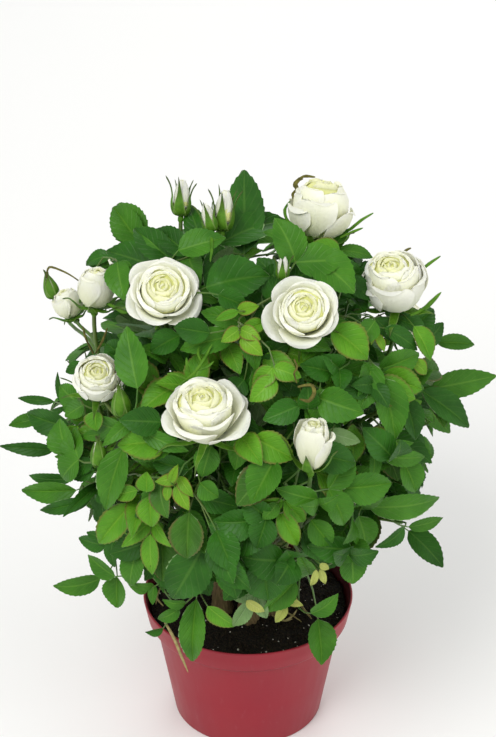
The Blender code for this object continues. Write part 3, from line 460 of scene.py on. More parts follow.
def tube(points, first_radius, last_radius, sides, start=None, end=None):
    """A closed tube along a line, tapering evenly, with flat ends that may face given ways."""
    verts = []
    for index, (along, side) in enumerate(frames_along(points, start, end)):
        share = index / (len(points) - 1)
        radius = first_radius + (last_radius - first_radius) * share
        other = along.cross(side)
        for corner in range(sides):
            turn = tau * corner / sides
            way = side * cos(turn) + other * sin(turn)
            verts.append(points[index] + way * radius)
    ends = [tuple(reversed(range(sides))), tuple(range(len(verts) - sides, len(verts)))]
    return verts, ring_faces(len(points), sides) + ends


def end_ways(line):
    """The directions at a line's two ends."""
    return (line[1] - line[0]).normalized(), (line[-1] - line[-2]).normalized()


def branch(points):
    """A three-sided twig whose narrow root stays inside the shoot that it grows from."""
    verts, faces = tube(points, *TWIG_RADII, 3)
    narrow = STALK_ROOT_RADIUS / TWIG_RADII[0]
    for corner in range(3):
        verts[corner] = points[0] + (verts[corner] - points[0]) * narrow
    return verts, faces


def turned(profile, sides, place, axis):
    """A solid turned about an axis: (radius, height) pairs upwards, ending on the axis."""
    verts = []
    for radius, height in profile:
        for corner in range(sides):
            across = spoke(axis, tau * corner / sides) * radius
            verts.append(place + across + axis * height)
    faces = ring_faces(len(profile), sides) + [tuple(reversed(range(sides)))]
    faces += point_faces(len(verts) - sides, sides)
    verts.append(place + axis * profile[-1][1] * 1.04)
    return verts, faces


def corner_ring(middle, along, across, half_width, thickness, height):
    """Three points round a line: left, right and a keel below."""
    up = across.cross(along)
    return [middle - across * half_width + up * height, middle + across * half_width + up * height,
            middle - up * (thickness - height)]


def round_ring(middle, along, across, radius):
    """Three points round a stalk."""
    return corner_ring(middle, along, across, radius, radius * 1.5, radius * 0.5)


def blade_frame(base, tip, face):
    """The way a leaflet points, and its direction from edge to edge."""
    along = (tip - base).normalized()
    return along, along.cross(face).normalized()


def blade_end(base, tip, face, width, grown):
    """The widest ring and the tip of a leaflet, whose upper side is slightly creased."""
    along, across = blade_frame(base, tip, face)
    half = width * 0.5 * LEAF_SPREAD + grown
    thick = LEAF_THICKNESS + grown * 2.0
    middle = base.lerp(tip, LEAF_WIDEST)
    return corner_ring(middle, along, across, half, thick, grown), [tip + along * grown]


def skin(rings):
    """Triangles over a row of three-point rings that ends in one point."""
    verts = [vert for ring in rings for vert in ring]
    faces = [(0, 1, 2)]
    for here, beside, across, ahead in ring_faces(len(rings) - 1, 3):
        faces += [(here, ahead, across), (here, across, beside)]
    faces += [(here, tip, beside) for here, beside, tip in point_faces(len(verts) - 4, 3)]
    return verts, faces


def blade(base, tip, face, width, grown=0.0):
    """A side leaflet: a small root ring sunk in its stalk, a wide ring and a tip."""
    along, across = blade_frame(base, tip, face)
    root = round_ring(base - along * grown, along, across, LEAF_ROOT_RADIUS + grown)
    return skin([root, *blade_end(base, tip, face, width, grown)])


def leaf_stalk(line, first_radius, leaflet, grown=0.0):
    """A stalk that ends in its own leaflet, as one solid."""
    base, tip, face, width = leaflet
    along, across = blade_frame(base, tip, face)
    last = len(line) - 1
    rings = []
    for index in range(last, -1, -1):
        if index < last:
            along = (line[index + 1] - line[max(index - 1, 0)]).normalized()
            across = (across - along * across.dot(along)).normalized()
        radius = first_radius + (STALK_TIP_RADIUS - first_radius) * index / last
        if index == 0:
            radius = STALK_ROOT_RADIUS
        rings.insert(0, round_ring(line[index], along, across, radius + grown))
    return skin([*rings, *blade_end(base, tip, face, width, grown)])


def bloom(name):
    """A flower's solid, turned about the way it faces."""
    form, width, _, axis = FLOWERS[name]
    stretch, sides, outline = FORMS[form]
    profile = [(radius * width * MM * 0.5, level * (width * MM * stretch))
               for radius, level in outline]
    return turned(profile, sides, flower_foot(name)[0], axis)


def curve(start, start_pull, end_pull, end, steps, first=0.0, last=1.0):
    """Points of a cubic curve between two of its shares."""
    points = []
    for step in range(steps + 1):
        share = first + (last - first) * step / steps
        rest = 1.0 - share
        points.append(start * rest ** 3 + start_pull * (3.0 * rest ** 2 * share)
                      + end_pull * (3.0 * rest * share ** 2) + end * share ** 3)
    return points


# ---------------------------------------------------------------- growing the crown

class Piece:
    """One closed solid of the plant, with what is needed to keep clear of it."""

    def __init__(self, shape):
        self.spans = [(min(level), max(level)) for level in zip(*shape[0])]
        self.tree = BVHTree.FromPolygons(*shape)

    def cells(self):
        """The cells of the grid that its box reaches into."""
        return itertools.product(*(range(int(low // CELL), int(high // CELL) + 1)
                                   for low, high in self.spans))

    def touches(self, other):
        """Whether it cuts another piece."""
        meet = all(low <= other_high and other_low <= high
                   for (low, high), (other_low, other_high) in zip(self.spans, other.spans))
        return meet and bool(self.tree.overlap(other.tree))


def on_plane(point):
    """Where the eye sees a point on the front plane: across, up, toward, in millimetres."""
    offset = point - VIEW_MIDDLE
    toward = offset.dot(TOWARD)
    shrink = VIEW_DISTANCE / (VIEW_DISTANCE - toward)
    return offset.dot(ACROSS) * shrink / MM, offset.dot(UP_PLANE) * shrink / MM, toward / MM


def in_window(points, fine):
    """Whether any of some points shows in a sky window."""
    for point in points:
        across, up, _ = on_plane(point)
        for window_across, window_up, radius in SKY_WINDOWS + (FINE_WINDOWS if fine else ()):
            if hypot(across - window_across, up - window_up) < radius:
                return True
    return False


def hides_flower(points, slack):
    """Whether any of some points shows in front of a flower."""
    for point in points:
        across, up, toward = on_plane(point)
        for form, width, middle, _ in FLOWERS.values():
            flower_across, flower_up, flower_toward = on_plane(middle)
            reach = width * 0.5 * (BUD_REACH if form == "bud" else 1.0) - slack
            nearer = toward > flower_toward - width * FLOWER_FRONT
            if nearer and hypot(across - flower_across, up - flower_up) < reach:
                return True
    return False


def hides_leaf(leaflet, shown):
    """Whether a leaflet would stand before one of the leaves that are to be seen whole."""
    base, tip, _, _ = leaflet
    for share in LEAF_PROBES:
        across, up, toward = on_plane(base.lerp(tip, share))
        for leaf_across, leaf_up, leaf_toward, reach in shown:
            if toward > leaf_toward and abs(across - leaf_across) < reach:
                if hypot(across - leaf_across, up - leaf_up) < reach:
                    return True
    return False


class Crown:
    """The growing plant: its pieces, and the lines that each mass's leaves may hang on."""

    def __init__(self):
        self.cells = {}
        self.shoots = {name: [] for name in MASSES}
        self.canes = []
        self.branches = []
        self.sprays = []
        self.taken = set()
        self.bud_shares = BUD_SHARES
        self.fine = False
        self.shown = []

    def clear(self, shape, parent=None):
        """Whether a shape keeps clear of every piece but the one that it grows from."""
        trial = Piece(shape)
        near = {piece for cell in trial.cells() for piece in self.cells.get(cell, ())}
        for piece in near - {parent}:
            if trial.touches(piece):
                return False
        return not any(in_flower(vert) for vert in shape[0])

    def add(self, shape):
        """A piece that later ones keep clear of."""
        piece = Piece(shape)
        for cell in piece.cells():
            self.cells.setdefault(cell, []).append(piece)
        return piece

    def add_shoot(self, mass, line, shape, radii=None, flowering=False):
        """A piece that leaves may hang on, which has bark of its own where radii are given."""
        self.shoots[mass].append((line, self.add(shape)))
        if radii:
            self.branches.append((line, radii, flowering))


def in_flower(point):
    """Whether a point lies well inside a flower."""
    return any((point - middle).length < width * MM * FLOWER_HEART
               for _, width, middle, _ in FLOWERS.values())


def flower_foot(name):
    """Where a flower sits on its shoot, and the way it faces."""
    form, width, middle, axis = FLOWERS[name]
    return middle - axis * (width * MM * FORMS[form][0] * 0.5), axis


def shoot_end(mass):
    """Where a mass's main shoot ends, and its direction there."""
    end, flowers = MASSES[mass]
    if flowers:
        return flower_foot(flowers[0])
    return end, (outward(end) + UP * SHOOT_RISE).normalized()


def azimuth_of(mass):
    """The way round the crown, from +X, that a mass's shoot ends."""
    end = shoot_end(mass)[0]
    return atan2(end.y, end.x)


def main_line(mass, foot):
    """The pulls of the curve from a cane's foot to the end of its mass's shoot."""
    end, direction = shoot_end(mass)
    span = (end - foot).length
    lean = Vector((end.x - foot.x, end.y - foot.y, 0.0)) * CANE_LEAN
    return (foot, foot + UP * (span * START_PULL) + lean, end - direction * (span * END_PULL),
            end)


def nearest_gap(line, others):
    """The least distance between a line's points and other lines' points."""
    return min([(here - there).length for here in line for other in others for there in other],
               default=1.0)


def plant_canes():
    """The stems' feet, and each mass's curve from its foot on the stem at its side of the pot.

    The canes of one stem are dealt to its feet so that all canes keep farthest apart.
    """
    order = sorted(MASSES, key=azimuth_of)
    hearts = []
    lines = {}
    placed = []
    for stem in range(STEM_COUNT):
        group = order[stem * len(order) // STEM_COUNT:(stem + 1) * len(order) // STEM_COUNT]
        middle = tau * (stem + 0.5) / STEM_COUNT - pi
        heart = Vector((cos(middle), sin(middle), 0.0)) * STEM_RING
        feet = []
        for corner in range(FEET_PER_STEM):
            turn = middle + tau * corner / FEET_PER_STEM
            offset = Vector((cos(turn), sin(turn), 0.0)) * CANE_FOOT_OFFSET
            feet.append(heart + offset + UP * (STEM_TOP + GAP))
        best = None
        for dealt in itertools.permutations(feet, len(group)):
            pulls = [main_line(mass, foot) for mass, foot in zip(group, dealt)]
            canes = [curve(*line, CANE_CHECKS, 0.0, CANE_SHARE) for line in pulls]
            gaps = [nearest_gap(cane, placed + canes[:place]) for place, cane in enumerate(canes)]
            if best is None or min(gaps) > best[0]:
                best = (min(gaps), pulls, canes)
        lines.update(zip(group, best[1]))
        placed += best[2]
        hearts.append(heart)
    return hearts, lines


def grow_limbs(crown, lines):
    """Canes, main shoots, flowers and their side shoots."""
    for name in FLOWERS:
        crown.add(bloom(name))
    for mass in MASSES:
        cane = curve(*lines[mass], CANE_POINTS, 0.0, CANE_SHARE)
        shoot = curve(*lines[mass], CANE_POINTS, CANE_SHARE, 1.0)
        joint = (shoot[1] - cane[-2]).normalized()
        shoot[0] = shoot[0] + joint * GAP
        shoot[-1] = shoot[-1] + (shoot[-1] - shoot[-2]).normalized() * SUNK
        crown.add(tube(cane, CANE_RADIUS, SHOOT_RADII[0], 4, UP, joint))
        crown.canes.append(cane)
        crown.add_shoot(mass, shoot, tube(shoot, *SHOOT_RADII, 3, joint), SHOOT_RADII,
                        bool(MASSES[mass][1]))
        for flower in MASSES[mass][1][1:]:
            foot, axis = flower_foot(flower)
            below = foot - UP * SIDE_SHOOT_DROP
            start = min(buds_on(shoot), key=lambda point: (point - below).length)
            reach = (foot - start).length
            start_pull = start + (shoot[-1] - start).normalized() * reach * START_PULL
            end_pull = foot - axis * reach * END_PULL
            side = curve(start, start_pull, end_pull, foot + axis * SUNK, 3)
            crown.taken.add(tuple(start))
            crown.add_shoot(mass, side, branch(side), TWIG_RADII, True)


def twig_line(start, along, side, weights, reach):
    """A twig's curve, which leaves its shoot gently and rises a little at its end.

    It heads to one side, with weights for how far outward, along the shoot and up.
    """
    outwards, onwards, upwards = weights
    heading = side + outward(start) * outwards + along * onwards + UP * upwards
    heading.normalize()
    end = start + heading * reach
    return curve(start, start + (along + heading) * reach * TWIG_START_PULL,
                 end - (heading + UP * TWIG_LIFT) * reach * TWIG_END_PULL, end, 3)


def grow_twigs(crown, chance):
    """Side twigs in golden-angle order along each main shoot."""
    for number, mass in enumerate(MASSES):
        shoot, parent = crown.shoots[mass][0]
        for order, place in enumerate(TWIG_PLACES):
            start = shoot[place].lerp(shoot[place + 1], TWIG_SHARE)
            along = (shoot[place + 1] - start).normalized()
            side = along.orthogonal().normalized()
            reach = chance.uniform(*TWIG_REACH)
            for attempt in range(TWIG_TRIES):
                turn = GOLDEN_ANGLE * (number * 3 + order + attempt * TWIG_TURN)
                aside = Matrix.Rotation(turn, 3, along) @ side
                twig = twig_line(start, along, aside, TWIG_WEIGHTS, reach)
                wide = tube(twig, *(radius + CLEARANCE for radius in TWIG_RADII), 3)
                inside = (twig[-1] - VIEW_MIDDLE).length < TWIG_INSIDE
                hidden = not in_window(twig, False) and not hides_flower(twig, 0.0)
                if inside and hidden and crown.clear(wide, parent):
                    crown.add_shoot(mass, twig, branch(twig), TWIG_RADII)
                    break


def grow_fine_twigs(crown, chance):
    """Finer twigs all along the shoots, in golden-angle order."""
    number = 0
    for mass in MASSES:
        for shoot, parent in list(crown.shoots[mass]):
            for place, share in itertools.product(range(1, len(shoot) - 1), FINE_TWIG_SHARES):
                number += 1
                start = shoot[place].lerp(shoot[place + 1], share)
                along = (shoot[place + 1] - start).normalized()
                aside = Matrix.Rotation(GOLDEN_ANGLE * number, 3, along) @ along.orthogonal()
                twig = twig_line(start, along, aside.normalized(), FINE_TWIG_WEIGHTS,
                                 chance.uniform(*FINE_TWIG_REACH))
                wide = tube(twig, *FINE_TWIG_RADII, 3)
                open_view = not in_window(twig, True) and not hides_flower(twig, 0.0)
                if open_view and inside_front(twig, True) and crown.clear(wide, parent):
                    crown.add_shoot(mass, twig, wide, FINE_TWIG_RADII)


def stalk_line(start, base, along):
    """A leaf stalk's curve from its shoot to the foot of the end leaflet."""
    reach = (base - start).length
    steps = 2 if reach < LONG_STALK else 3
    return curve(start, start.lerp(base, STALK_START_PULL) + UP * reach * STALK_RISE,
                 base - along * reach * STALK_END_PULL, base, steps)


def leaflets_on(stalk, base, tip, face, width, count):
    """The end leaflet and as many pairs as the stalk has room for."""
    length = (tip - base).length
    leaflets = [(base, tip, face, width)]
    for pair in range((count - 1) // 2):
        node, heading = back_along(stalk, (PAIR_FIRST + PAIR_STEP * pair) * length)
        if node is None:
            break
        for side in (-1.0, 1.0):
            aside = Matrix.Rotation(side * SIDE_LEAF_ANGLE, 3, face) @ heading
            end = node + aside * length * SIDE_LEAF_SIZE
            leaflets.append((node, end, face, width * SIDE_LEAF_SIZE))
    return leaflets


def back_along(points, distance):
    """The point so far back from a line's end, and the line's direction there."""
    for index in range(len(points) - 1, 0, -1):
        step = points[index] - points[index - 1]
        if distance < step.length:
            return points[index] - step.normalized() * distance, step.normalized()
        distance -= step.length
    return None, None


def in_sight(leaflet, leading, fine):
    """Whether a leaflet stays out of the sky windows, off the flowers and above the skirt."""
    corners = blade(*leaflet, CLEARANCE)[0]
    if in_window([*corners, leaflet[0].lerp(leaflet[1], 0.5)], fine):
        return False
    if leading:
        return True
    if min(corner.z for corner in corners) < floor_at(leaflet[1], fine):
        return False
    return not hides_flower(corners, FLOWER_SLACK)


def buds_on(shoot, shares=BUD_SHARES):
    """The places along a shoot where a leaf may start, clear of its own corners."""
    places = []
    for index in range(1, len(shoot) - 1):
        places += [shoot[index].lerp(shoot[index + 1], share) for share in shares]
    return places


def free_buds(crown, mass, heel):
    """A mass's free places for a leaf, each with its shoot's piece, the nearest first."""
    places = []
    for shoot, parent in crown.shoots[mass]:
        for place in buds_on(shoot, crown.bud_shares):
            if tuple(place) not in crown.taken:
                places.append((place, parent))
    places.sort(key=lambda pair: (pair[0] - heel).length)
    return places[:BUDS_TRIED]


def inside_front(points, fine):
    """Whether some points all show inside the oval, or outline, that unnamed leaves keep to."""
    for point in points:
        across, up, _ = on_plane(point)
        up -= OVAL_MIDDLE
        if fine:
            turn = degrees(atan2(up, across)) % 360.0 / OUTLINE_STEP
            first = int(turn)
            start, end = OUTLINE[first % len(OUTLINE)], OUTLINE[(first + 1) % len(OUTLINE)]
            if hypot(across, up) > start + (end - start) * (turn - first):
                return False
        elif hypot(across / OVAL_ACROSS, up / OVAL_UP) > 1.0:
            return False
    return True


def grow_spray(crown, mass, leaflet, count, tint, leading):
    """A compound leaf on the nearest shoot that it can reach without touching anything."""
    base, tip, face, width = leaflet
    along = (tip - base).normalized()
    if not in_sight(leaflet, leading, crown.fine) or not crown.clear(blade(*leaflet, CLEARANCE)):
        return False
    for start, parent in free_buds(crown, mass, base.lerp(tip, -0.5)):
        reach = (base - start).length
        if reach > (LONGEST_LEADING if leading else LONGEST_STALK):
            break
        stalk = stalk_line(start, base, along)
        first_radius = STALK_RADIUS if reach < LONG_STALK else TWIG_RADII[0]
        if (base - start).dot(along) < -MOST_BACKWARD * reach:
            continue
        if not leading and (in_window(stalk, crown.fine) or hides_flower(stalk, 0.0)):
            continue
        wide = leaf_stalk(stalk, first_radius, leaflet, CLEARANCE)
        if not crown.fine and not crown.clear(wide, parent):
            continue
        kept = [leaflet]
        for side_leaflet in leaflets_on(stalk, base, tip, face, width, count)[1:]:
            seen_well = in_sight(side_leaflet, False, crown.fine)
            if crown.fine and not leading:
                seen_well = seen_well and not hides_leaf(side_leaflet, crown.shown)
            if seen_well and crown.clear(blade(*side_leaflet, CLEARANCE)):
                kept.append(side_leaflet)
        crown.taken.add(tuple(start))
        crown.sprays.append((stalk, first_radius, kept, tint))
        shape = leaf_stalk(stalk, first_radius, leaflet)
        if reach < LONG_STALK:
            crown.add(shape)
        else:
            crown.add_shoot(mass, stalk, shape)
        for side_leaflet in kept[1:]:
            crown.add(blade(*side_leaflet))
        return True
    return False


def grow_nearby(crown, leaflet, count, tint=None, leading=False):
    """A compound leaf on one of the masses whose shoots come nearest to its base, if any can."""
    def distance(mass):
        """How near a mass's shoots come."""
        return min((point - leaflet[0]).length for line, _ in crown.shoots[mass]
                   for point in line)

    return any(grow_spray(crown, mass, leaflet, count, tint, leading)
               for mass in sorted(MASSES, key=distance)[:MASSES_TRIED])


def floor_at(place, fine):
    """How low a leaf may hang: the skirt rises toward the front and over the soil."""
    rise = (FINE_SKIRT_LEFT if place.x < SKIRT_TURN else FINE_SKIRT_RIGHT) if fine else SKIRT_RISE
    return SKIRT + max(0.0, -place.y) * rise


def leaf_face(base, tip, lean):
    """The way a leaf faces: outward from the crown, leaning toward a direction."""
    along = (tip - base).normalized()
    wish = outward(base.lerp(tip, 0.5)) + lean
    return (wish - along * wish.dot(along)).normalized()


def grow_leading(crown, rows):
    """Leading leaves, each at the first of a few depths where it finds room."""
    for base_across, base_up, tip_across, tip_up, width, count, behind, tint in rows:
        middle = dome_front((base_across + tip_across) / 2.0, (base_up + tip_up) / 2.0)
        most = MOST_SLANT * hypot(tip_across - base_across, tip_up - base_up)
        slant = max(-most, min(most, dome_front(tip_across, tip_up) - middle))
        for shift in DEPTH_TRIES:
            depth = middle - behind - shift
            base = seen(base_across, base_up, depth)
            tip = seen(tip_across, tip_up, depth + slant)
            leaflet = (base, tip, leaf_face(base, tip, TOWARD * FRONT_FACING), width * MM)
            if grow_nearby(crown, leaflet, count, tint, True):
                for share in SHOWN_SHARES:
                    spot = on_plane(base.lerp(tip, share))
                    crown.shown.append((*spot, width * 0.5 * SHOWN_WIDTH + SHOWN_SLACK))
                break


def grow_fill(crown, chance, number, share, lengths, leaflets):
    """Leaves whose tips are spread evenly over a shell of the dome, in golden-angle order."""
    for index in range(number):
        level = FILL_TOP - FILL_SPAN * (index + 0.5) / number
        azimuth = degrees(GOLDEN_ANGLE * index) + share * SHELL_TURN
        tip = around(azimuth, DOME_MIDDLE + DOME_RISE * level, share)
        tip.z = DOME_MIDDLE + DOME_RISE * level * share
        out = outward(tip)
        sway = out.cross(UP) * chance.uniform(-1.0, 1.0) + UP * chance.uniform(-0.7, 0.5)
        along = (out * FILL_OUTWARD + sway * FILL_ASIDE).normalized()
        length = chance.uniform(*lengths)
        base = tip - along * length
        leaflet = (base, tip, leaf_face(base, tip, UP * FILL_UPWARD + sway * 0.2),
                   length * FILL_WIDTH)
        hiding = crown.fine and hides_leaf(leaflet, crown.shown)
        if inside_front((base, tip), crown.fine) and not hiding:
            grow_nearby(crown, leaflet, leaflets)


def grow_veil(crown, chance, number):
    """Leaves spread evenly over the front, in layers from the dome's face inwards."""
    for index in range(number):
        across = (2.0 * ((index * VEIL_STEPS[0]) % 1.0) - 1.0) * max(OUTLINE)
        up = (2.0 * ((index * VEIL_STEPS[1]) % 1.0) - 1.0) * max(OUTLINE) + OVAL_MIDDLE
        turn = atan2(up - VEIL_HEART, across) + chance.uniform(-1.0, 1.0)
        length = chance.uniform(*VEIL_LENGTH)
        tip_across = across + cos(turn) * length / MM
        tip_up = up + sin(turn) * length / MM
        depth = dome_front(across, up) - VEIL_LAYERS[index % len(VEIL_LAYERS)]
        base = seen(across, up, depth)
        tip = seen(tip_across, tip_up, depth + chance.uniform(-0.4, 0.2) * length / MM)
        if not inside_front((base, tip), True):
            continue
        lean = TOWARD * FRONT_FACING + ACROSS * chance.uniform(-1.0, 1.0)
        lean += UP * chance.uniform(-0.4, 0.9)
        leaflet = (base, tip, leaf_face(base, tip, lean), length * chance.uniform(0.56, 0.68))
        if not hides_leaf(leaflet, crown.shown):
            grow_nearby(crown, leaflet, FINE_LEAFLETS)


def grow():
    """The whole crown: first as the solids have it, then on to finer twigs and leaves."""
    chance = random.Random(SEED)
    crown = Crown()
    hearts, lines = plant_canes()
    grow_limbs(crown, lines)
    grow_leading(crown, LEADING_LEAVES)
    grow_twigs(crown, chance)
    for number, share in FILL_SHELLS:
        grow_fill(crown, chance, number, share, FILL_LENGTH, FILL_LEAFLETS)
    crown.fine = True
    grow_leading(crown, FINE_LEAVES)
    grow_fine_twigs(crown, chance)
    crown.bud_shares = FINE_BUD_SHARES
    grow_veil(crown, chance, VEIL_LEAVES)
    for number, share in FINE_SHELLS:
        grow_fill(crown, chance, number, share, FINE_LENGTH, FINE_LEAFLETS)
    return crown, hearts


# ---------------------------------------------------------------- joined meshes

ROOT = "root"
SHARP_ANGLE = radians(55.0)
FOLIAGE_NODES = ["foliage_" + mass for mass in MASSES]
CANE_NODES = ["cane_" + mass for mass in MASSES]
STEM_NODES = ["stem_%d" % (number + 1) for number in range(STEM_COUNT)]


class Gathering:
    """Points and faces of one kind, gathered into one joined mesh."""

    def __init__(self):
        self.verts = []
        self.faces = []
        self.paints = []
        self.places = []

    def add(self, shape, paints=None, places=None):
        """Adds a shape; places say where on its own blade each point lies."""
        verts, faces = shape
        first = len(self.verts)
        self.verts += [tuple(vert) for vert in verts]
        self.faces += [tuple(first + corner for corner in face) for face in faces]
        self.paints += paints or [0] * len(faces)
        self.places += places or [(0.0, 0.0, 0.0)] * len(verts)

    def mesh(self, name, materials):
        """The joined mesh, with smooth shading but for its sharp edges."""
        made = bpy.data.meshes.new(name)
        made.from_pydata(self.verts, [], self.faces)
        for paint in materials:
            made.materials.append(paint)
        made.polygons.foreach_set("material_index", self.paints)
        blade_places = made.attributes.new("blade", "FLOAT_VECTOR", "POINT")
        blade_places.data.foreach_set("vector", numpy.array(self.places, dtype=float).ravel())
        made.shade_smooth()
        made.set_sharp_from_angle(angle=SHARP_ANGLE)
        return made

    def piece(self, name, materials, slot="leaf", nodes=FOLIAGE_NODES):
        """The finished piece, which rides on the plant and stands for some of its solids."""
        return dress(name, self.mesh(name, materials), nodes)


def new_object(name, data):
    """A new object of the scene."""
    thing = bpy.data.objects.new(name, data)
    bpy.context.scene.collection.objects.link(thing)
    return thing


def dress(name, mesh, nodes=()):
    """An object for a finished mesh, with what it rides on and the solids that it replaces."""
    thing = new_object(name, mesh)
    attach(thing, ROOT)
    if nodes:
        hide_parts(*nodes)
    return thing


def eased(points, steps):
    """A smooth line through some points."""
    line = []
    for index in range(len(points) - 1):
        before = points[max(index - 1, 0)]
        here = points[index]
        there = points[index + 1]
        after = points[min(index + 2, len(points) - 1)]
        for step in range(steps):
            share = step / steps
            bend = before * 2.0 - here * 5.0 + there * 4.0 - after
            twist = here * 3.0 - before - there * 3.0 + after
            line.append((here * 2.0 + (there - before) * share + bend * share ** 2
                         + twist * share ** 3) * 0.5)
    line.append(points[-1])
    return line


def stretched(points, back, ahead):
    """A line carried on a little past both its ends."""
    start_way, end_way = end_ways(points)
    return [points[0] - start_way * back, *points[1:-1], points[-1] + end_way * ahead]


def shell(grid, bodies):
    """A closed thin shell behind rows of points, as thick as asked in each row."""
    rows = len(grid)
    columns = len(grid[0])
    total = rows * columns
    back = []
    for row in range(rows):
        for column in range(columns):
            ahead = grid[min(row + 1, rows - 1)][column] - grid[max(row - 1, 0)][column]
            aside = grid[row][min(column + 1, columns - 1)] - grid[row][max(column - 1, 0)]
            edge = abs(2.0 * column / (columns - 1) - 1.0) ** 3
            body = bodies[row] + (bodies[-1] - bodies[row]) * edge
            back.append(grid[row][column] - aside.cross(ahead).normalized() * body)
    faces = []
    for row in range(rows - 1):
        for column in range(columns - 1):
            here = row * columns + column
            square = (here, here + 1, here + 1 + columns, here + columns)
            faces += [square, tuple(square[corner] + total for corner in (0, 3, 2, 1))]
    rim = [*range(columns), *range(2 * columns - 1, total, columns),
           *range(total - 2, total - columns - 1, -1), *range(total - 2 * columns, 0, -columns)]
    for here, beside in zip(rim, rim[1:] + rim[:1]):
        faces.append((beside, here, here + total, beside + total))
    return [point for row in grid for point in row] + back, faces


# ---------------------------------------------------------------- leaves

LEAF_ROWS = 10
LEAF_BASE_POWER = 0.6
LEAF_TIP_POWER = 0.94
LEAF_FULLEST = LEAF_BASE_POWER / (LEAF_BASE_POWER + LEAF_TIP_POWER)
LEAF_PEAK = LEAF_FULLEST ** LEAF_BASE_POWER * (1.0 - LEAF_FULLEST) ** LEAF_TIP_POWER
TOOTH_REACH = 0.06
TOOTH_LEAN = 0.78
LEAF_BODY = 0.0004
QUILTING = 0.00022
LEAF_FOLDS = (0.15, 0.6)
LEAF_BOWS = (0.03, 0.15)
RUFFLE = 0.012
MIDDLE_COLUMN = 0.5
YOUNG_COLUMN = 0.8
STALK_SLIMMING = 0.75
STALK_END_RADIUS = 0.00035
# Leaves this near the crown's middle are deep; the others' tints are dealt by weights for deep,
# mid, light and olive, which differ above and below these heights of the front plane.
INNER_REACH = 0.08
HIGH_UP = 15.0
LOW_UP = -66.0
HIGH_WEIGHTS = (54, 40, 2, 4)
MIDDLE_WEIGHTS = (33, 38, 24, 5)


def half_width(share):
    """A leaflet's half width along its midrib, as a share of the greatest."""
    return share ** LEAF_BASE_POWER * (1.0 - share) ** LEAF_TIP_POWER / LEAF_PEAK


def leaflet_shape(leaflet, habit, column):
    """A toothed leaflet, folded along its midrib and quilted between its veins.

    Gives the shape, the faces' paints (0 above, 1 below) and, for each point, its place across
    and along the blade.
    """
    base, tip, face, width = leaflet
    fold, bow, phase = habit
    length = (tip - base).length
    along, across = blade_frame(base, tip, face)
    up = across.cross(along)

    def place(share, side, out=0.0, lift=0.0):
        """Adds a point at shares of the blade's length and half width."""
        half = width * 0.5 * (half_width(share) + out)
        rise = fold * half * abs(side) ** 0.8 + length * bow * 4.0 * share * (1.0 - share)
        rise += RUFFLE * length * sin(phase + 9.0 * share) * side
        verts.append(base + along * (share * length) + across * (side * half) + up * (rise + lift))
        places.append((side, share, 0.0))

    verts = []
    places = []
    rows = LEAF_ROWS
    place(0.0, 0.0)
    for row in range(1, rows):
        lift = QUILTING * (row % 2)
        for side in (-1.0, -column, 0.0, column, 1.0):
            place(row / rows, side, lift=lift if abs(side) == column else 0.0)
    place(1.0, 0.0)
    end = len(verts) - 1
    teeth = len(verts)
    for side in (-1.0, 1.0):
        for row in range(rows):
            place((row + TOOTH_LEAN) / rows, side, out=TOOTH_REACH * min(1.0, row * 0.5))
    keel = len(verts)
    for row in range(1, rows):
        place(row / rows, 0.0, lift=-LEAF_BODY)

    tops = [[0] * 5, *([first + step for step in range(5)] for first in range(1, end, 5)),
            [end] * 5]
    keels = [0, *range(keel, len(verts)), end]
    faces = []
    paints = []
    for row in range(rows):
        left = teeth + row
        right = teeth + rows + row
        here, ahead = tops[row], tops[row + 1]
        bands = (
            (0, (here[0], here[1], ahead[1], ahead[0], left)),
            (0, (here[1], here[2], ahead[2], ahead[1])),
            (0, (here[2], here[3], ahead[3], ahead[2])),
            (0, (here[3], here[4], right, ahead[4], ahead[3])),
            (1, (keels[row + 1], keels[row], here[0], left, ahead[0])),
            (1, (keels[row], keels[row + 1], ahead[4], right, here[4])),
        )
        for paint, corners in bands:
            corners = tuple(dict.fromkeys(corners))
            if len(corners) > 2:
                faces.append(corners)
                paints.append(paint)
    return (verts, faces), paints, places


def dealt_tint(spot, chance):
    """The tint of a spray that isn't a leading one: deeper inside the crown and at its top."""
    if (spot - Vector((0.0, 0.0, DOME_MIDDLE))).length < INNER_REACH:
        return chance.choice((DEEP, DEEP, MID))
    up = on_plane(spot)[1]
    weights = HIGH_WEIGHTS if up > HIGH_UP or up < LOW_UP else MIDDLE_WEIGHTS
    return chance.choices((DEEP, MID, LIGHT, OLIVE), weights)[0]


def gather_leaves(crown, stalks):
    """Every spray's leaflets, gathered by tint, and its stalk."""
    chance = random.Random(LOOKS_SEED)
    leaves = [Gathering() for _ in range(YELLOWED + 1)]
    for stalk, first_radius, leaflets, tint in crown.sprays:
        if tint is None:
            tint = dealt_tint(stalk[-1], chance)
        column = YOUNG_COLUMN if tint == YOUNG else MIDDLE_COLUMN
        fold = chance.uniform(*LEAF_FOLDS)
        for leaflet in leaflets:
            habit = (fold, chance.uniform(*LEAF_BOWS), chance.uniform(0.0, 6.3))
            shape, paints, places = leaflet_shape(leaflet, habit, column)
            leaves[tint].add(shape, paints, places)
        line = eased(stretched(stalk, SUNK, 0.0), 2)
        stalks.add(tube(line, first_radius * STALK_SLIMMING, STALK_END_RADIUS, 5,
                        *end_ways(line)))
    return leaves


# ---------------------------------------------------------------- blooms

# How a flower looks where that says more than its solid's form.
LOOKS = {"b4": "wrapped", "b5": "ruffled", "b6": "ruffled", "b7": "globe", "b7_side": "globe",
         "b8": "half_open", "b7_bud": "closed", "green": "closed", "yellow": "closed",
         "rear_bloom": "ruffled"}
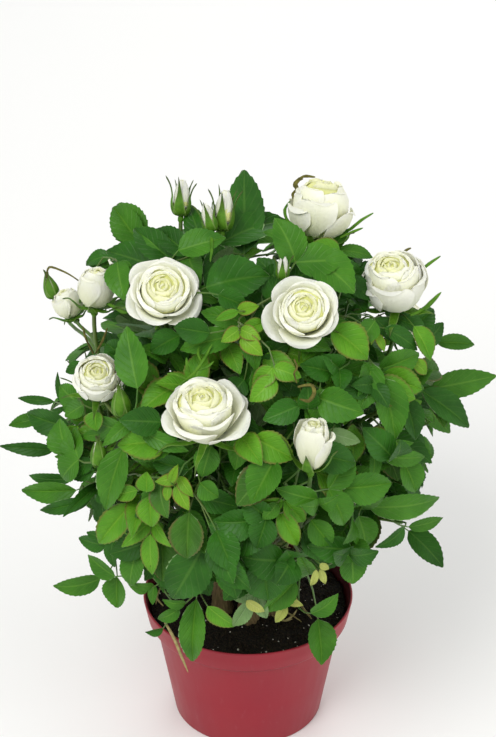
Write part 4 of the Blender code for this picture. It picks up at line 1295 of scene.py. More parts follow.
# Each look's height as a share of its width, how far its petals wind round the axis from foot
# to lip, in radians, the first petal packed in its heart, and how far petals' corners are cut.
LOOK_SHAPES = {
    "open": (0.62, 0.22, 9, 0.28),
    "ruffled": (0.86, 0.45, 6, 0.32),
    "globe": (0.9, 0.95, 4, 0.34),
    "wrapped": (0.9, 1.0, 4, 0.46),
    "half_open": (1.25, 0.55, 3, 0.42),
    "bud": (1.75, 0.5, 2, 0.35),
}
# Buds finer than the solids have, which join the other flowers when the crown has grown.
EXTRA_BUDS = {
    "top_front": ("bud", 8.5, front(-21.5, 82, 8), facing(-0.25, 1.0, 0.2)),
}
# How a bloom is fitted inside its solid: its size, and its shift across and up in millimetres.
LOOK_FIT = {"b1": (0.96, -0.5, -2.5), "b2": (0.91, 0.0, -2.9), "b3": (0.9, 1.6, -2.5),
            "b4": (1.0, -0.5, -1.5), "b5": (1.0, 0.0, -0.8), "b6": (1.0, 1.0, -1.5),
            "b7": (1.14, 0.5, -1.0), "b7_side": (1.14, 1.5, 0.0), "b8": (1.1, 0.0, 0.0),
            "top_side": (0.86, 2.0, 0.0), "rear_bloom": (0.92, 3.0, -5.0)}
# A bloom that stands straighter than its solid, and one whose outermost petal is turned.
LOOK_AXIS = {"b4": facing(0.1, 1.0, 0.26)}
FIRST_TURN = {"b4": 2.02, "b8": 4.57}
# How far a flower's heart sits off its middle, in shares of its radius, across and up.
HEART_LEAN = {"b1": (0.02, 0.06), "b2": (0.1, 0.08), "b3": (-0.05, 0.1), "b5": (-0.12, 0.06)}
# Petals from the outermost to the innermost: at some of their numbers, the two pulls of the
# curve from foot to lip, as (radius, height), then the lip's radius and height, half the angle
# that a petal spans in degrees, and how far its lip rolls back. Petals in between lie evenly
# between these. Radii are shares of the flower's, heights of its height.
PETALS = {
    "open": (
        (0, 0.52, 0.0, 0.72, 0.4, 1.0, 0.54, 46, 0.1),
        (3, 0.52, 0.02, 0.68, 0.5, 0.93, 0.63, 46, 0.1),
        (6, 0.5, 0.04, 0.68, 0.62, 0.8, 0.74, 48, 0.08),
        (9, 0.52, 0.05, 0.74, 0.76, 0.66, 0.85, 54, 0.05),
        (12, 0.5, 0.05, 0.74, 0.9, 0.51, 0.91, 62, 0.02),
        (16, 0.42, 0.06, 0.62, 0.98, 0.37, 0.95, 70, 0.01),
        (20, 0.28, 0.07, 0.42, 0.99, 0.21, 0.96, 80, 0.005),
        (24, 0.12, 0.1, 0.2, 0.95, 0.05, 0.93, 100, 0.0),
    ),
    "ruffled": (
        (0, 0.8, 0.0, 1.16, 0.46, 1.0, 0.7, 54, 0.14),
        (4, 0.78, 0.02, 1.12, 0.64, 0.87, 0.83, 58, 0.11),
        (8, 0.7, 0.04, 1.02, 0.84, 0.66, 0.94, 62, 0.06),
        (12, 0.52, 0.05, 0.8, 1.0, 0.44, 0.98, 70, 0.03),
        (16, 0.34, 0.07, 0.5, 1.02, 0.23, 0.99, 84, 0.01),
        (19, 0.14, 0.1, 0.26, 0.98, 0.05, 0.96, 100, 0.0),
    ),
    "globe": (
        (0, 0.84, 0.0, 1.14, 0.48, 0.96, 0.78, 66, 0.13),
        (2, 0.84, 0.02, 1.16, 0.62, 0.7, 0.92, 76, 0.06),
        (4, 0.82, 0.02, 1.14, 0.74, 0.5, 0.98, 80, 0.03),
        (7, 0.72, 0.04, 1.02, 0.9, 0.3, 1.01, 84, 0.02),
        (10, 0.52, 0.06, 0.76, 1.0, 0.14, 1.02, 90, 0.01),
        (12, 0.3, 0.08, 0.5, 1.0, 0.05, 0.99, 100, 0.0),
    ),
    "wrapped": (
        (0, 0.84, 0.0, 1.14, 0.42, 1.04, 0.62, 54, 0.16),
        (1, 0.82, 0.01, 1.12, 0.46, 0.99, 0.62, 50, 0.13),
        (3, 0.8, 0.02, 1.12, 0.56, 0.9, 0.74, 52, 0.09),
        (6, 0.78, 0.03, 1.08, 0.74, 0.72, 0.88, 56, 0.06),
        (10, 0.64, 0.05, 0.88, 0.94, 0.42, 1.0, 70, 0.02),
        (14, 0.3, 0.08, 0.5, 1.02, 0.05, 1.02, 100, 0.0),
    ),
    "half_open": (
        (0, 0.66, 0.02, 1.06, 0.5, 0.92, 0.72, 56, 0.12),
        (1, 0.66, 0.02, 1.04, 0.6, 0.68, 0.88, 64, 0.06),
        (3, 0.62, 0.03, 0.98, 0.74, 0.52, 0.95, 70, 0.03),
        (6, 0.48, 0.05, 0.74, 0.9, 0.34, 0.99, 78, 0.02),
        (11, 0.14, 0.1, 0.24, 0.96, 0.05, 0.97, 100, 0.0),
    ),
    "bud": (
        (0, 1.08, 0.04, 1.06, 0.66, 0.36, 0.92, 70, 0.1),
        (3, 1.0, 0.05, 0.94, 0.74, 0.22, 0.96, 76, 0.03),
        (8, 0.3, 0.08, 0.3, 0.8, 0.05, 0.96, 100, 0.0),
    ),
}
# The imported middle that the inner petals' lips stand out of, turned about the flower's axis.
HEARTS = {
    "open": ((0.1, 0.06), (0.4, 0.28), (0.6, 0.6), (0.52, 0.82), (0.38, 0.89), (0.2, 0.875)),
    "ruffled": ((0.14, 0.05), (0.6, 0.3), (0.76, 0.62), (0.62, 0.86), (0.42, 0.92), (0.2, 0.9)),
    "globe": ((0.14, 0.05), (0.62, 0.28), (0.8, 0.58), (0.62, 0.84), (0.36, 0.94), (0.15, 0.96)),
    "wrapped": ((0.14, 0.05), (0.62, 0.28), (0.8, 0.58), (0.62, 0.86), (0.36, 0.97), (0.15, 0.99)),
    "half_open": ((0.2, 0.06), (0.46, 0.35), (0.6, 0.65), (0.46, 0.88), (0.2, 0.93)),
    "bud": ((0.2, 0.06), (0.8, 0.3), (0.7, 0.55), (0.3, 0.76), (0.12, 0.82)),
}
for bloom_table in (LOOK_SHAPES, PETALS, HEARTS):
    bloom_table["closed"] = bloom_table["bud"]
HEART_SIDES = 24
PETAL_ROWS = 9
PETAL_COLUMNS = 12
PETAL_BODY = 0.00022
# A petal packed in the heart thickens inwards below its lip, which closes the gap behind it.
PACKED_BODY = (0.09, 0.09, 0.09, 0.09, 0.085, 0.08, 0.065, 0.045)
PACKED_LIP = 0.0004
ROW_CROWDING = 1.6
PETAL_FOOT = (0.08, 0.03)
LIP_SHARE = 0.84
OVERLAP = 0.035
LIP_RUFFLE = 0.055
SIDE_RUFFLE = 0.03
LOOSE_PETALS = 8.0
LOOSE_SHRINK = (-0.05, 0.12)
SIZE_JITTER = 0.06
RISE_JITTER = 0.025
TURN_JITTER = 0.1
# Young blooms, whose outer petals are as creamy as the inner ones of the others.
CREAMY = ("globe", "wrapped", "half_open")
# A sepal's course in shares of the flower's radius and height, from its foot to its tip, and its
# breadth as a share of the radius.
SEPALS = {
    "open": (((0.1, 0.0), (0.45, -0.05), (0.85, 0.02), (1.12, -0.12)), 0.26),
    "ruffled": (((0.14, 0.0), (0.72, 0.0), (1.1, 0.1), (1.45, 0.1)), 0.46),
    "globe": (((0.14, 0.0), (0.66, -0.02), (1.0, 0.12), (1.28, 0.2), (1.6, 0.14)), 0.74),
    "wrapped": (((0.14, 0.0), (0.62, -0.03), (0.97, 0.09), (1.1, 0.24), (1.3, 0.3)), 0.74),
    "half_open": (((0.16, 0.0), (0.62, 0.08), (0.92, 0.3), (1.06, 0.5), (1.36, 0.72)), 1.0),
    "bud": (((0.2, 0.0), (0.68, 0.05), (0.93, 0.2), (0.97, 0.38), (0.9, 0.56), (1.12, 0.82),
             (1.6, 1.06)), 2.0),
    "closed": (((0.2, 0.0), (0.92, 0.1), (1.1, 0.3), (1.0, 0.55), (0.62, 0.82),
                (0.22, 1.02), (0.3, 1.2)), 2.75),
}
SEPAL_COUNT = 5
SEPAL_BODY = 0.0008
SEPAL_DROOP = 0.45
HIP_RADIUS = 0.0012
# A hip's outline from its stalk up: radius and height in shares of its own radius.
HIP_PROFILE = ((0.55, -2.3), (0.95, -1.7), (1.0, -0.9), (0.8, -0.1), (0.9, 0.25))


def looks_of(flower):
    """A flower's look, its radius and height, its foot, the way it faces and its heart's shift."""
    form, width, middle, axis = FLOWERS[flower]
    look = LOOKS.get(flower, form)
    size, across, up = LOOK_FIT.get(flower, (1.0, 0.0, 0.0))
    axis = LOOK_AXIS.get(flower, axis)
    middle = middle + (ACROSS * across + UP_PLANE * up) * MM
    radius = width * MM * 0.5 * size
    height = radius * 2.0 * LOOK_SHAPES[look][0]
    across_lean, up_lean = HEART_LEAN.get(flower, (0.0, 0.0))
    lean = (ACROSS * across_lean + UP_PLANE * up_lean) * radius
    return look, radius, height, middle - axis * (height * 0.5), axis, lean


def between(rows, number):
    """Values evenly between those of a table's rows, whose first column is their number."""
    for first, last in zip(rows, rows[1:]):
        if number <= last[0]:
            share = (number - first[0]) / (last[0] - first[0])
            return [start + (end - start) * share for start, end in zip(first[1:], last[1:])]
    return list(rows[-1][1:])


def petal(flower, number, jitter):
    """One petal's rows of points, from its foot to its rolled lip."""
    look, radius, height, foot, axis, lean = looks_of(flower)
    _, winding, _, corner_cut = LOOK_SHAPES[look]
    values = between(PETALS[look], number)
    span, roll = values[6:]
    loose = max(0.0, 1.0 - number / LOOSE_PETALS)
    lean = lean * (1.0 - loose)
    size = 1.0 - jitter.uniform(-SIZE_JITTER, SIZE_JITTER) - loose * jitter.uniform(*LOOSE_SHRINK)
    rise = values[5] + jitter.uniform(-RISE_JITTER, RISE_JITTER) * (1.0 + loose)
    lip = Vector((values[4] * size, rise))
    pulls = (Vector(PETAL_FOOT), Vector(values[0:2]), Vector((values[2] * size, values[3])), lip)
    turn = GOLDEN_ANGLE * number + jitter.uniform(-TURN_JITTER, TURN_JITTER) * (1.0 + loose)
    turn += FIRST_TURN.get(flower, 0.0)
    phase = jitter.uniform(0.0, 6.3)
    rows = []
    for row in range(PETAL_ROWS):
        points = []
        for column in range(PETAL_COLUMNS + 1):
            across = 2.0 * column / PETAL_COLUMNS - 1.0
            share = 1.0 - (1.0 - row / (PETAL_ROWS - 1)) ** ROW_CROWDING
            share *= 1.0 - corner_cut * abs(across) ** 2.2
            level = curve(*pulls, 1, min(share / LIP_SHARE, 1.0), 1.0)[0]
            past = max(0.0, share - LIP_SHARE) / (1.0 - LIP_SHARE)
            ruffle = sin(2.6 * across + phase) + 0.4 * sin(6.0 * across + phase * 2.0)
            ruffle *= share ** 4
            reach = (level.x + roll * past) * radius * (1.0 + OVERLAP * across)
            reach *= 1.0 + SIDE_RUFFLE * ruffle * loose
            rise = level.y * height - roll * radius * past ** 2
            rise += LIP_RUFFLE * level.x * radius * ruffle
            spread = 0.35 + 0.65 * sin(min(1.0, share / 0.62) * pi * 0.5)
            angle = turn + radians(span) * across * spread + winding * share
            points.append(foot + lean * share + axis * rise + spoke(axis, angle) * reach)
        rows.append(points)
    return rows


def sepal(flower, number, jitter):
    """A pointed sepal that bends round the flower, four-cornered in section."""
    look, radius, height, foot, axis, _ = looks_of(flower)
    out = spoke(axis, tau * number / SEPAL_COUNT + jitter.uniform(-0.15, 0.15))
    across = axis.cross(out).normalized()
    stretch = jitter.uniform(0.9, 1.12)
    course, breadth = SEPALS[look]
    droop = axis * (jitter.uniform(-SEPAL_DROOP, SEPAL_DROOP) * radius)
    line = []
    for step, (reach, rise) in enumerate(course):
        longer = 1.0 + (stretch - 1.0) * step / len(course)
        line.append(foot + out * (reach * radius * longer) + axis * (rise * height * longer)
                    + droop * (step / len(course)) ** 2)
    line = eased(line, 3)
    verts = []
    places = []
    for index, point in enumerate(line[:-1]):
        share = index / (len(line) - 1)
        half = breadth * radius * 0.5 * (0.55 + 1.6 * share) * (1.0 - share) ** 1.8 + 0.00018
        along = (line[index + 1] - point).normalized()
        lift = across.cross(along).normalized() * SEPAL_BODY * 0.5
        reach = max((point - foot).dot(out), half)
        bent = out * (half ** 2 / (2.0 * reach))
        verts += [point - across * half - bent, point - lift, point + across * half - bent,
                  point + lift]
        places += [(1.0, share, 0.0), (0.0, share, 0.0)] * 2
    faces = [(3, 2, 1, 0), *ring_faces(len(line) - 1, 4), *point_faces(len(verts) - 4, 4)]
    verts.append(line[-1])
    return (verts, faces), None, [*places, (0.0, 1.0, 0.0)]


def gather_blooms():
    """All petals, outer, inner and those of the heart, and the sepals with the hips under them."""
    jitter = random.Random(LOOKS_SEED + 1)
    petals = [Gathering() for _ in range(3)]
    green = Gathering()
    places = [(2.0 * column / PETAL_COLUMNS - 1.0, row / (PETAL_ROWS - 1), 0.0)
              for row in range(PETAL_ROWS) for column in range(PETAL_COLUMNS + 1)]
    for flower in FLOWERS:
        look, radius, height, foot, axis, lean = looks_of(flower)
        count = PETALS[look][-1][0] + 1
        for number in range(count):
            bodies = [PETAL_BODY] * PETAL_ROWS
            if number >= LOOK_SHAPES[look][2]:
                bodies = [body * radius for body in PACKED_BODY] + [PACKED_LIP]
            shape = shell(petal(flower, number, jitter), bodies)
            kind = max(look in CREAMY, min(2, 3 * number // count))
            petals[kind].add(shape, None, places * 2)
        profile = [(share * radius, level * height) for share, level in HEARTS[look]]
        verts, faces = turned(profile, HEART_SIDES, foot + lean, axis)
        petals[2].add((verts, faces), None, [(0.0, 0.3, 0.0)] * len(verts))
        for number in range(SEPAL_COUNT):
            green.add(*sepal(flower, number, jitter))
        hip = HIP_RADIUS + radius * 0.07
        profile = [(hip * share, hip * level) for share, level in HIP_PROFILE]
        green.add(turned(profile, 10, foot, axis))
        solid_foot = flower_foot(flower)[0]
        if (foot - solid_foot).length > SUNK:
            green.add(tube([solid_foot - axis * SUNK, foot + axis * SUNK], SHOOT_RADII[1],
                           SHOOT_RADII[1], 7))
    return petals, green


# ---------------------------------------------------------------- wood

# Depths of the bark's ridges, and how many features of bark there are to a metre.
CANE_RELIEF = 0.0001
CANE_GRAIN = 700.0
OLD_GRAIN = 900.0
BARK_ROUND = 0.004
BARK_UPWARD = 0.25
CANE_SWELLING = 0.00022
CANE_BARK = 1.05
CANE_SUNK = 0.0035
STEM_SUNK = 0.002
STEM_RINGS = 14
STEM_RELIEF = 0.0005
STRAND_RELIEF = 0.00025


def bark_tube(line, radii, sides, depth, fineness):
    """A closed limb whose bark stands out in ridges along it."""
    verts, faces = tube(line, 1.0, 1.0, sides, *end_ways(line))
    shaped = []
    for index, vert in enumerate(verts):
        point = line[index // sides]
        way = vert - point
        beside = way * fineness * BARK_ROUND
        level = Vector((beside.x, beside.y, point.z * fineness * BARK_UPWARD))
        rough = noise(level + point * 3.0) + 0.5 * noise((level + point) * 2.7)
        shaped.append(point + way * (radii[index // sides] + depth * rough))
    return shaped, faces


def cane_radii(count, first, last):
    """A cane's radius along it, with a slight swelling at each joint."""
    radii = []
    for index in range(count):
        share = index / (count - 1)
        swelling = max(0.0, cos(share * count * 0.9)) ** 6
        radii.append(first + (last - first) * share + CANE_SWELLING * swelling)
    return radii


def leafy_part(line, taken):
    """A twig as far as its last leaf, or nothing where it has none."""
    for index in range(len(line) - 2, 0, -1):
        for share in sorted({*BUD_SHARES, *FINE_BUD_SHARES}, reverse=True):
            place = line[index].lerp(line[index + 1], share)
            if tuple(place) in taken:
                return [*line[:index + 1], place]
    return None


def gather_wood(crown, hearts):
    """The woody stems, the canes and the green shoots and twigs."""
    stems, canes, shoots = [Gathering() for _ in range(3)]
    for heart in hearts:
        foot = heart + UP * (SOIL_TOP - STEM_SUNK)
        top = heart + UP * (STEM_TOP + SUNK)
        line = [foot.lerp(top, step / STEM_RINGS) for step in range(STEM_RINGS + 1)]
        radii = []
        for step in range(STEM_RINGS + 1):
            share = step / STEM_RINGS
            flare = (STEM_FOOT_RADIUS - STEM_RADIUS) * (1.0 - share) ** 3
            radii.append((STEM_RADIUS * 0.98 + flare) * (1.0 - 0.35 * share ** 9))
        stems.add(bark_tube(line, radii, 20, STEM_RELIEF, OLD_GRAIN))
    for cane in crown.canes:
        line = eased(stretched(cane, CANE_SUNK, 0.001), 5)
        radii = cane_radii(len(line), CANE_RADIUS * CANE_BARK, SHOOT_RADII[0] * CANE_BARK)
        canes.add(bark_tube(line, radii, 10, CANE_RELIEF, CANE_GRAIN))
    for line, radii, flowering in crown.branches:
        if not flowering:
            line = leafy_part(line, crown.taken)
        if not line:
            continue
        line = eased(stretched(line, SUNK, 0.0), 3)
        shoots.add(tube(line, *radii, 7, *end_ways(line)))
    return stems, canes, shoots


def resting(across, up):
    """The place on the soil that the eye sees at a place of the front plane."""
    near = seen(across, up, 0.0)
    far = seen(across, up, -100.0)
    return near.lerp(far, (near.z - SOIL_TOP - 0.001) / (near.z - far.z))


def gather_strands():
    """Withered curls and dead twigs, and curled green tips, each tapering to a point."""
    strands = {"dry": Gathering(), "brown": Gathering(), "green": Gathering()}
    for kind, thickest, depths, course in STRANDS:
        points = []
        for step, (across, up) in enumerate(course):
            if depths is None:
                points.append(resting(across, up))
            else:
                depth = depths[0] + (depths[1] - depths[0]) * step / (len(course) - 1)
                points.append(seen(across, up, depth))
        line = eased(points, 4)
        radii = []
        for index in range(len(line)):
            share = index / (len(line) - 1)
            radii.append(MM * thickest * (0.35 + 0.9 * share) * (1.0 - share ** 3) + 0.0002)
        strands[kind].add(bark_tube(line, radii, 8, STRAND_RELIEF, OLD_GRAIN))
    return strands


# ---------------------------------------------------------------- pot and soil

LATHE_SIDES = 128
# The pot's outline, as (radius, height) in millimetres: the hollow under its foot, the foot's
# corner, the wall, the crease under the lip, the lip, and down the inside to the floor.
POT_PROFILE = (
    (34.5, 1.2), (35.5, 0.9), (36.2, 0.0), (41.7, 0.0), (42.3, 0.3), (42.7, 1.1),
    (47.8, 30.0), (53.0, 59.3), (53.4, 60.3), (54.5, 61.0), (56.1, 62.9), (57.0, 63.4),
    (57.6, 64.4), (59.0, 71.2), (59.8, 75.8), (60.0, 76.4), (59.7, 76.9), (59.3, 77.0),
    (58.9, 76.8), (58.7, 76.2), (56.1, 63.5), (52.1, 60.5), (41.2, 1.8),
)
POT_FLOOR = 0.0018
# How many rings of the pot's wall stand inside, below the lip, which the finish paints dark:
# painted shade, with peat dust that sticks there.
SHADE_AND_DUST_RINGS = 4
SOIL_SIDES = 110
SOIL_EDGE = 0.0552
SOIL_RINGS = 30
SOIL_HOLLOW = 0.0016
SOIL_RELIEF = 0.0012
SOIL_BANK = 0.0042


def pot_shape():
    """The moulded pot: a flat foot ring, straight wall, crease and a rounded lip."""
    profile = [(radius * MM, height * MM) for radius, height in POT_PROFILE]
    verts, faces = turned(profile, LATHE_SIDES, Vector(), UP)
    verts[-1] = UP * POT_FLOOR
    # Marks the inner rings below the lip, which the finish darkens: painted shade, with peat dust.
    first_shade_and_dust_ring = len(profile) - SHADE_AND_DUST_RINGS
    places = [(float(index // LATHE_SIDES >= first_shade_and_dust_ring), 0.0, 0.0) for index in range(len(verts))]
    return (verts, faces), None, places


def soil_shape():
    """Crumbly peat, a little lower along the pot's wall."""
    profile = [(SOIL_EDGE - 0.004, SOIL_TOP - 0.012), (SOIL_EDGE - 0.001, SOIL_TOP - 0.004)]
    for ring in range(SOIL_RINGS):
        share = ring / SOIL_RINGS
        level = SOIL_TOP - SOIL_HOLLOW * (1.0 - share) ** 3
        profile.append((SOIL_EDGE * (1.0 - share) + 0.0004, level))
    verts, faces = turned(profile, SOIL_SIDES, Vector(), UP)
    verts[-1] = UP * SOIL_TOP
    shaped = []
    for vert in verts:
        lumps = noise(vert * 110.0) + 0.6 * noise(vert * 320.0)
        crumbs = 0.45 * noise(vert * 800.0)
        outer = hypot(vert.x, vert.y) / SOIL_EDGE
        bank = SOIL_BANK * max(0.0, vert.y / SOIL_EDGE) * outer ** 6
        shaped.append(vert + UP * (SOIL_RELIEF * (lumps + crumbs) + bank))
    return shaped, faces


# ---------------------------------------------------------------- materials

def linear(code):
    """An sRGB colour written in hex, as red, green, blue and alpha in linear light."""
    channels = [int(code[start:start + 2], 16) / 255.0 for start in (1, 3, 5)]
    light = [c / 12.92 if c <= 0.04045 else ((c + 0.055) / 1.055) ** 2.4 for c in channels]
    return (*light, 1.0)


def add_node(tree, kind, inputs=None, **settings):
    """Adds a node with its settings and a value or a link for each input named; its outputs."""
    made = tree.nodes.new(kind)
    for name, value in settings.items():
        setattr(made, name, value)
    for name, value in (inputs or {}).items():
        socket = made.inputs[name]
        if isinstance(value, bpy.types.NodeSocket):
            tree.links.new(value, socket)
        else:
            socket.default_value = value
    return made.outputs


def finish_of(name, roughness, specular=0.5, **fixed):
    """A new material and its tree, with the shader's values that are the same all over."""
    paint = bpy.data.materials.new(name)
    paint.use_nodes = True
    sockets = paint.node_tree.nodes["Principled BSDF"].inputs
    sockets["Roughness"].default_value = roughness
    sockets["Specular IOR Level"].default_value = specular
    for socket, value in fixed.items():
        sockets[socket.replace("_", " ")].default_value = value
    return paint, paint.node_tree


def wire(tree, socket, link):
    """Links something to a socket of the tree's shader."""
    tree.links.new(link, tree.nodes["Principled BSDF"].inputs[socket])


def coloured(tree, colour, *layers):
    """Gives the finish a colour with others laid over it, each with its pattern and strength."""
    blend = linear(colour)
    for over, pattern, strength in layers:
        share = add_node(tree, "ShaderNodeMath", {0: pattern, 1: strength}, operation="MULTIPLY")
        blend = add_node(tree, "ShaderNodeMix", {0: share[0], 6: blend, 7: linear(over)},
                         data_type="RGBA")[2]
    wire(tree, "Base Color", blend)


def grain(tree, size, detail=2.0, lengthwise=1.0, middle=0.5, contrast=1.0):
    """Noise between 0 and 1, with features of a real size in metres, which may be drawn out."""
    spot = add_node(tree, "ShaderNodeTexCoord")["Object"]
    if lengthwise != 1.0:
        scale = (1.0, 1.0, lengthwise)
        spot = add_node(tree, "ShaderNodeMapping", {"Vector": spot, "Scale": scale})["Vector"]
    noisy = add_node(tree, "ShaderNodeTexNoise", {
        "Vector": spot, "Scale": 1.0 / size, "Detail": detail})
    return add_node(tree, "ShaderNodeMapRange", {
        "Value": noisy[0], "From Min": middle - 0.25 / contrast,
        "From Max": middle + 0.25 / contrast}, clamp=True)[0]


def relief(tree, depth, *layers):
    """Bumps of a depth in metres: patterns added up, each with its weight."""
    height = 0.0
    for pattern, weight in layers:
        height = add_node(tree, "ShaderNodeMath", {
            0: pattern, 1: weight, 2: height}, operation="MULTIPLY_ADD")[0]
    bump = add_node(tree, "ShaderNodeBump", {"Height": height, "Distance": depth})
    wire(tree, "Normal", bump["Normal"])


def blade_place(tree):
    """Where a point lies across (X) and along (Y) its own leaflet, petal, sepal or wall."""
    spot = add_node(tree, "ShaderNodeAttribute", attribute_name="blade")["Vector"]
    return add_node(tree, "ShaderNodeSeparateXYZ", {"Vector": spot})


def vein_pattern(tree, pairs):
    """Where a leaflet's midrib and side veins run, from 0 between them to 1 on them."""
    place = blade_place(tree)
    side = add_node(tree, "ShaderNodeMath", {0: place["X"]}, operation="ABSOLUTE")[0]
    midrib = add_node(tree, "ShaderNodeMapRange", {
        "Value": side, "From Min": 0.03, "From Max": 0.1, "To Min": 1.0, "To Max": 0.0})[0]
    slanted = add_node(tree, "ShaderNodeMath", {
        0: side, 1: -0.3, 2: place["Y"]}, operation="MULTIPLY_ADD")[0]
    wave = add_node(tree, "ShaderNodeMath", {0: slanted, 1: 0.5 / pairs}, operation="PINGPONG")[0]
    ribs = add_node(tree, "ShaderNodeMapRange", {
        "Value": wave, "From Min": 0.02 / pairs, "From Max": 0.14 / pairs, "To Min": 0.6,
        "To Max": 0.0})[0]
    veins = add_node(tree, "ShaderNodeMath", {0: midrib, 1: ribs}, operation="MAXIMUM")
    return veins[0], midrib, side


def leaf_top(name, light, deep, vein, margin):
    """Living rose leaf, upper side: a waxy cuticle gives a soft sheen that sunk veins break."""
    paint, tree = finish_of(name, 0.46, 0.25, IOR=1.42)
    veins, midrib, side = vein_pattern(tree, 7.0)
    patches = grain(tree, 0.016, 2.0, contrast=1.3)
    speckle = grain(tree, 0.0022, 1.0)
    layers = [(deep, patches, 1.0), (deep, speckle, 0.28), (vein, veins, 0.18),
              (vein, midrib, 0.2)]
    if margin:
        edge = add_node(tree, "ShaderNodeMapRange", {
            "Value": side, "From Min": 0.82, "From Max": 1.0})[0]
        layers.append((margin, edge, 0.9))
    coloured(tree, light, *layers)
    gloss = add_node(tree, "ShaderNodeMapRange", {
        "Value": patches, "To Min": 0.38, "To Max": 0.52})[0]
    wire(tree, "Roughness", gloss)
    relief(tree, 0.00022, (veins, -1.0), (midrib, 0.5), (speckle, 0.5))
    return paint


def leaf_underside(name, light, deep):
    """Living rose leaf, underside: no wax, so paler, greyer and matt, and its veins stand out."""
    paint, tree = finish_of(name, 0.62, 0.3)
    veins = vein_pattern(tree, 7.0)[0]
    coloured(tree, light, (deep, grain(tree, 0.012), 1.0), (light, veins, 0.4))
    relief(tree, 0.0003, (veins, 1.0))
    return paint


def petal_finish(name, lip, heart):
    """Rose petal: cells like tiny domes scatter light, so soft, matt and slightly see-through."""
    paint, tree = finish_of(name, 0.58, 0.25, Subsurface_Weight=0.35, Subsurface_Scale=0.004,
                            Sheen_Weight=0.1, Subsurface_Radius=(1.0, 0.95, 0.7))
    place = blade_place(tree)
    rise = add_node(tree, "ShaderNodeMapRange", {
        "Value": place["Y"], "From Min": 0.15, "From Max": 0.8},
        interpolation_type="SMOOTHSTEP")[0]
    coloured(tree, heart, (lip, rise, 1.0), (heart, grain(tree, 0.006), 0.2))
    ribs = add_node(tree, "ShaderNodeMath", {0: place["X"], 1: 0.055}, operation="PINGPONG")[0]
    # Its cells and ribs are finer than this, and are drawn as coarse as they need to show.
    relief(tree, 0.00007, (ribs, 9.0), (grain(tree, 0.0015), 1.0))
    return paint


def sepal_finish():
    """Sepals and hips: fresh green tissue with fine glandular hairs, so nearly matt."""
    paint, tree = finish_of("fresh_sepal", 0.58, 0.2)
    place = blade_place(tree)
    tips = add_node(tree, "ShaderNodeMapRange", {
        "Value": place["Y"], "From Min": 0.55, "From Max": 0.95})[0]
    margin = add_node(tree, "ShaderNodeMapRange", {
        "Value": place["X"], "From Min": 0.7, "From Max": 1.0})[0]
    coloured(tree, "#3a6a12", ("#5c8a20", grain(tree, 0.004), 1.0),
             ("#a9b878", margin, 0.35), ("#41402a", tips, 0.75))
    relief(tree, 0.00012, (grain(tree, 0.0006), 1.0))
    return paint


def shoot_finish():
    """Young rose shoot: smooth green rind, reddened in places where the sun reaches it."""
    paint, tree = finish_of("young_shoot_rind", 0.44)
    coloured(tree, "#50802a", ("#3d6420", grain(tree, 0.007), 1.0),
             ("#635530", grain(tree, 0.022, contrast=1.5), 0.4))
    relief(tree, 0.0001, (grain(tree, 0.0012, lengthwise=0.25), 1.0))
    return paint


def cane_finish():
    """Year-old rose cane: green bark that browns towards the base, with small corky pores."""
    paint, tree = finish_of("green_cane_bark", 0.52)
    spot = add_node(tree, "ShaderNodeTexCoord")["Object"]
    height = add_node(tree, "ShaderNodeSeparateXYZ", {"Vector": spot})["Z"]
    low = add_node(tree, "ShaderNodeMapRange", {
        "Value": height, "From Min": 0.15, "From Max": 0.092})[0]
    pores = grain(tree, 0.0016, 1.0, middle=0.66, contrast=3.0)
    streaks = grain(tree, 0.005, lengthwise=0.3)
    coloured(tree, "#5a7a2c", ("#48632a", streaks, 1.0), ("#6b5733", low, 0.7),
             ("#a08c62", pores, 0.6))
    relief(tree, 0.00012, (pores, 1.0), (grain(tree, 0.001, lengthwise=0.2), 1.0))
    return paint


def stem_finish():
    """Old rose wood: dry grey-brown bark that splits lengthwise into fibres."""
    paint, tree = finish_of("woody_rose_bark", 0.82, 0.25)
    fibres = grain(tree, 0.0011, 3.0, lengthwise=0.12)
    coloured(tree, "#4a3a26", ("#8a7350", fibres, 1.0),
             ("#5f6136", grain(tree, 0.006), 0.45))
    relief(tree, 0.0004, (fibres, 1.0))
    return paint


def pot_finish():
    """Moulded red polypropylene: satin sheen, faint flow marks, scuffs, and painted shade with
    peat dust inside.
    """
    paint, tree = finish_of("moulded_red_polypropylene", 0.46, 0.35, IOR=1.49)
    clouds = grain(tree, 0.045, 2.0)
    flow = grain(tree, 0.006, 2.0, lengthwise=0.12)
    scuffs = grain(tree, 0.0035, 4.0, lengthwise=0.35, middle=0.7, contrast=3.5)
    # The inner wall below the lip is darkened near-black: painted shade, with peat dust.
    inside = blade_place(tree)["X"]
    coloured(tree, "#98202c", ("#8c1c2c", clouds, 0.8), ("#a33040", flow, 0.12),
             ("#b98289", scuffs, 0.08), ("#17110d", inside, 0.7))
    gloss = add_node(tree, "ShaderNodeMapRange", {
        "Value": flow, "To Min": 0.4, "To Max": 0.52})[0]
    wire(tree, "Roughness", gloss)
    relief(tree, 0.00025, (clouds, 1.0), (flow, 0.1))
    return paint


def peat_finish(name, dark, light):
    """Damp peat: near-black crumbs with paler plant fibres, quite matt."""
    paint, tree = finish_of(name, 0.92, 0.2)
    crumbs = grain(tree, 0.0022, 3.0)
    fibres = grain(tree, 0.0012, 2.0, middle=0.62, contrast=2.0)
    coloured(tree, dark, (light, crumbs, 1.0), ("#57452c", fibres, 0.35))
    relief(tree, 0.0006, (crumbs, 1.0), (fibres, 1.0))
    return paint


def perlite_finish():
    """Perlite: white foamed volcanic glass, chalky, with peat dust in its pores."""
    paint, tree = finish_of("perlite_foam", 0.85)
    coloured(tree, "#e2e1d8", ("#a9a28f", grain(tree, 0.0012), 1.0))
    relief(tree, 0.0003, (grain(tree, 0.0007), 1.0))
    return paint


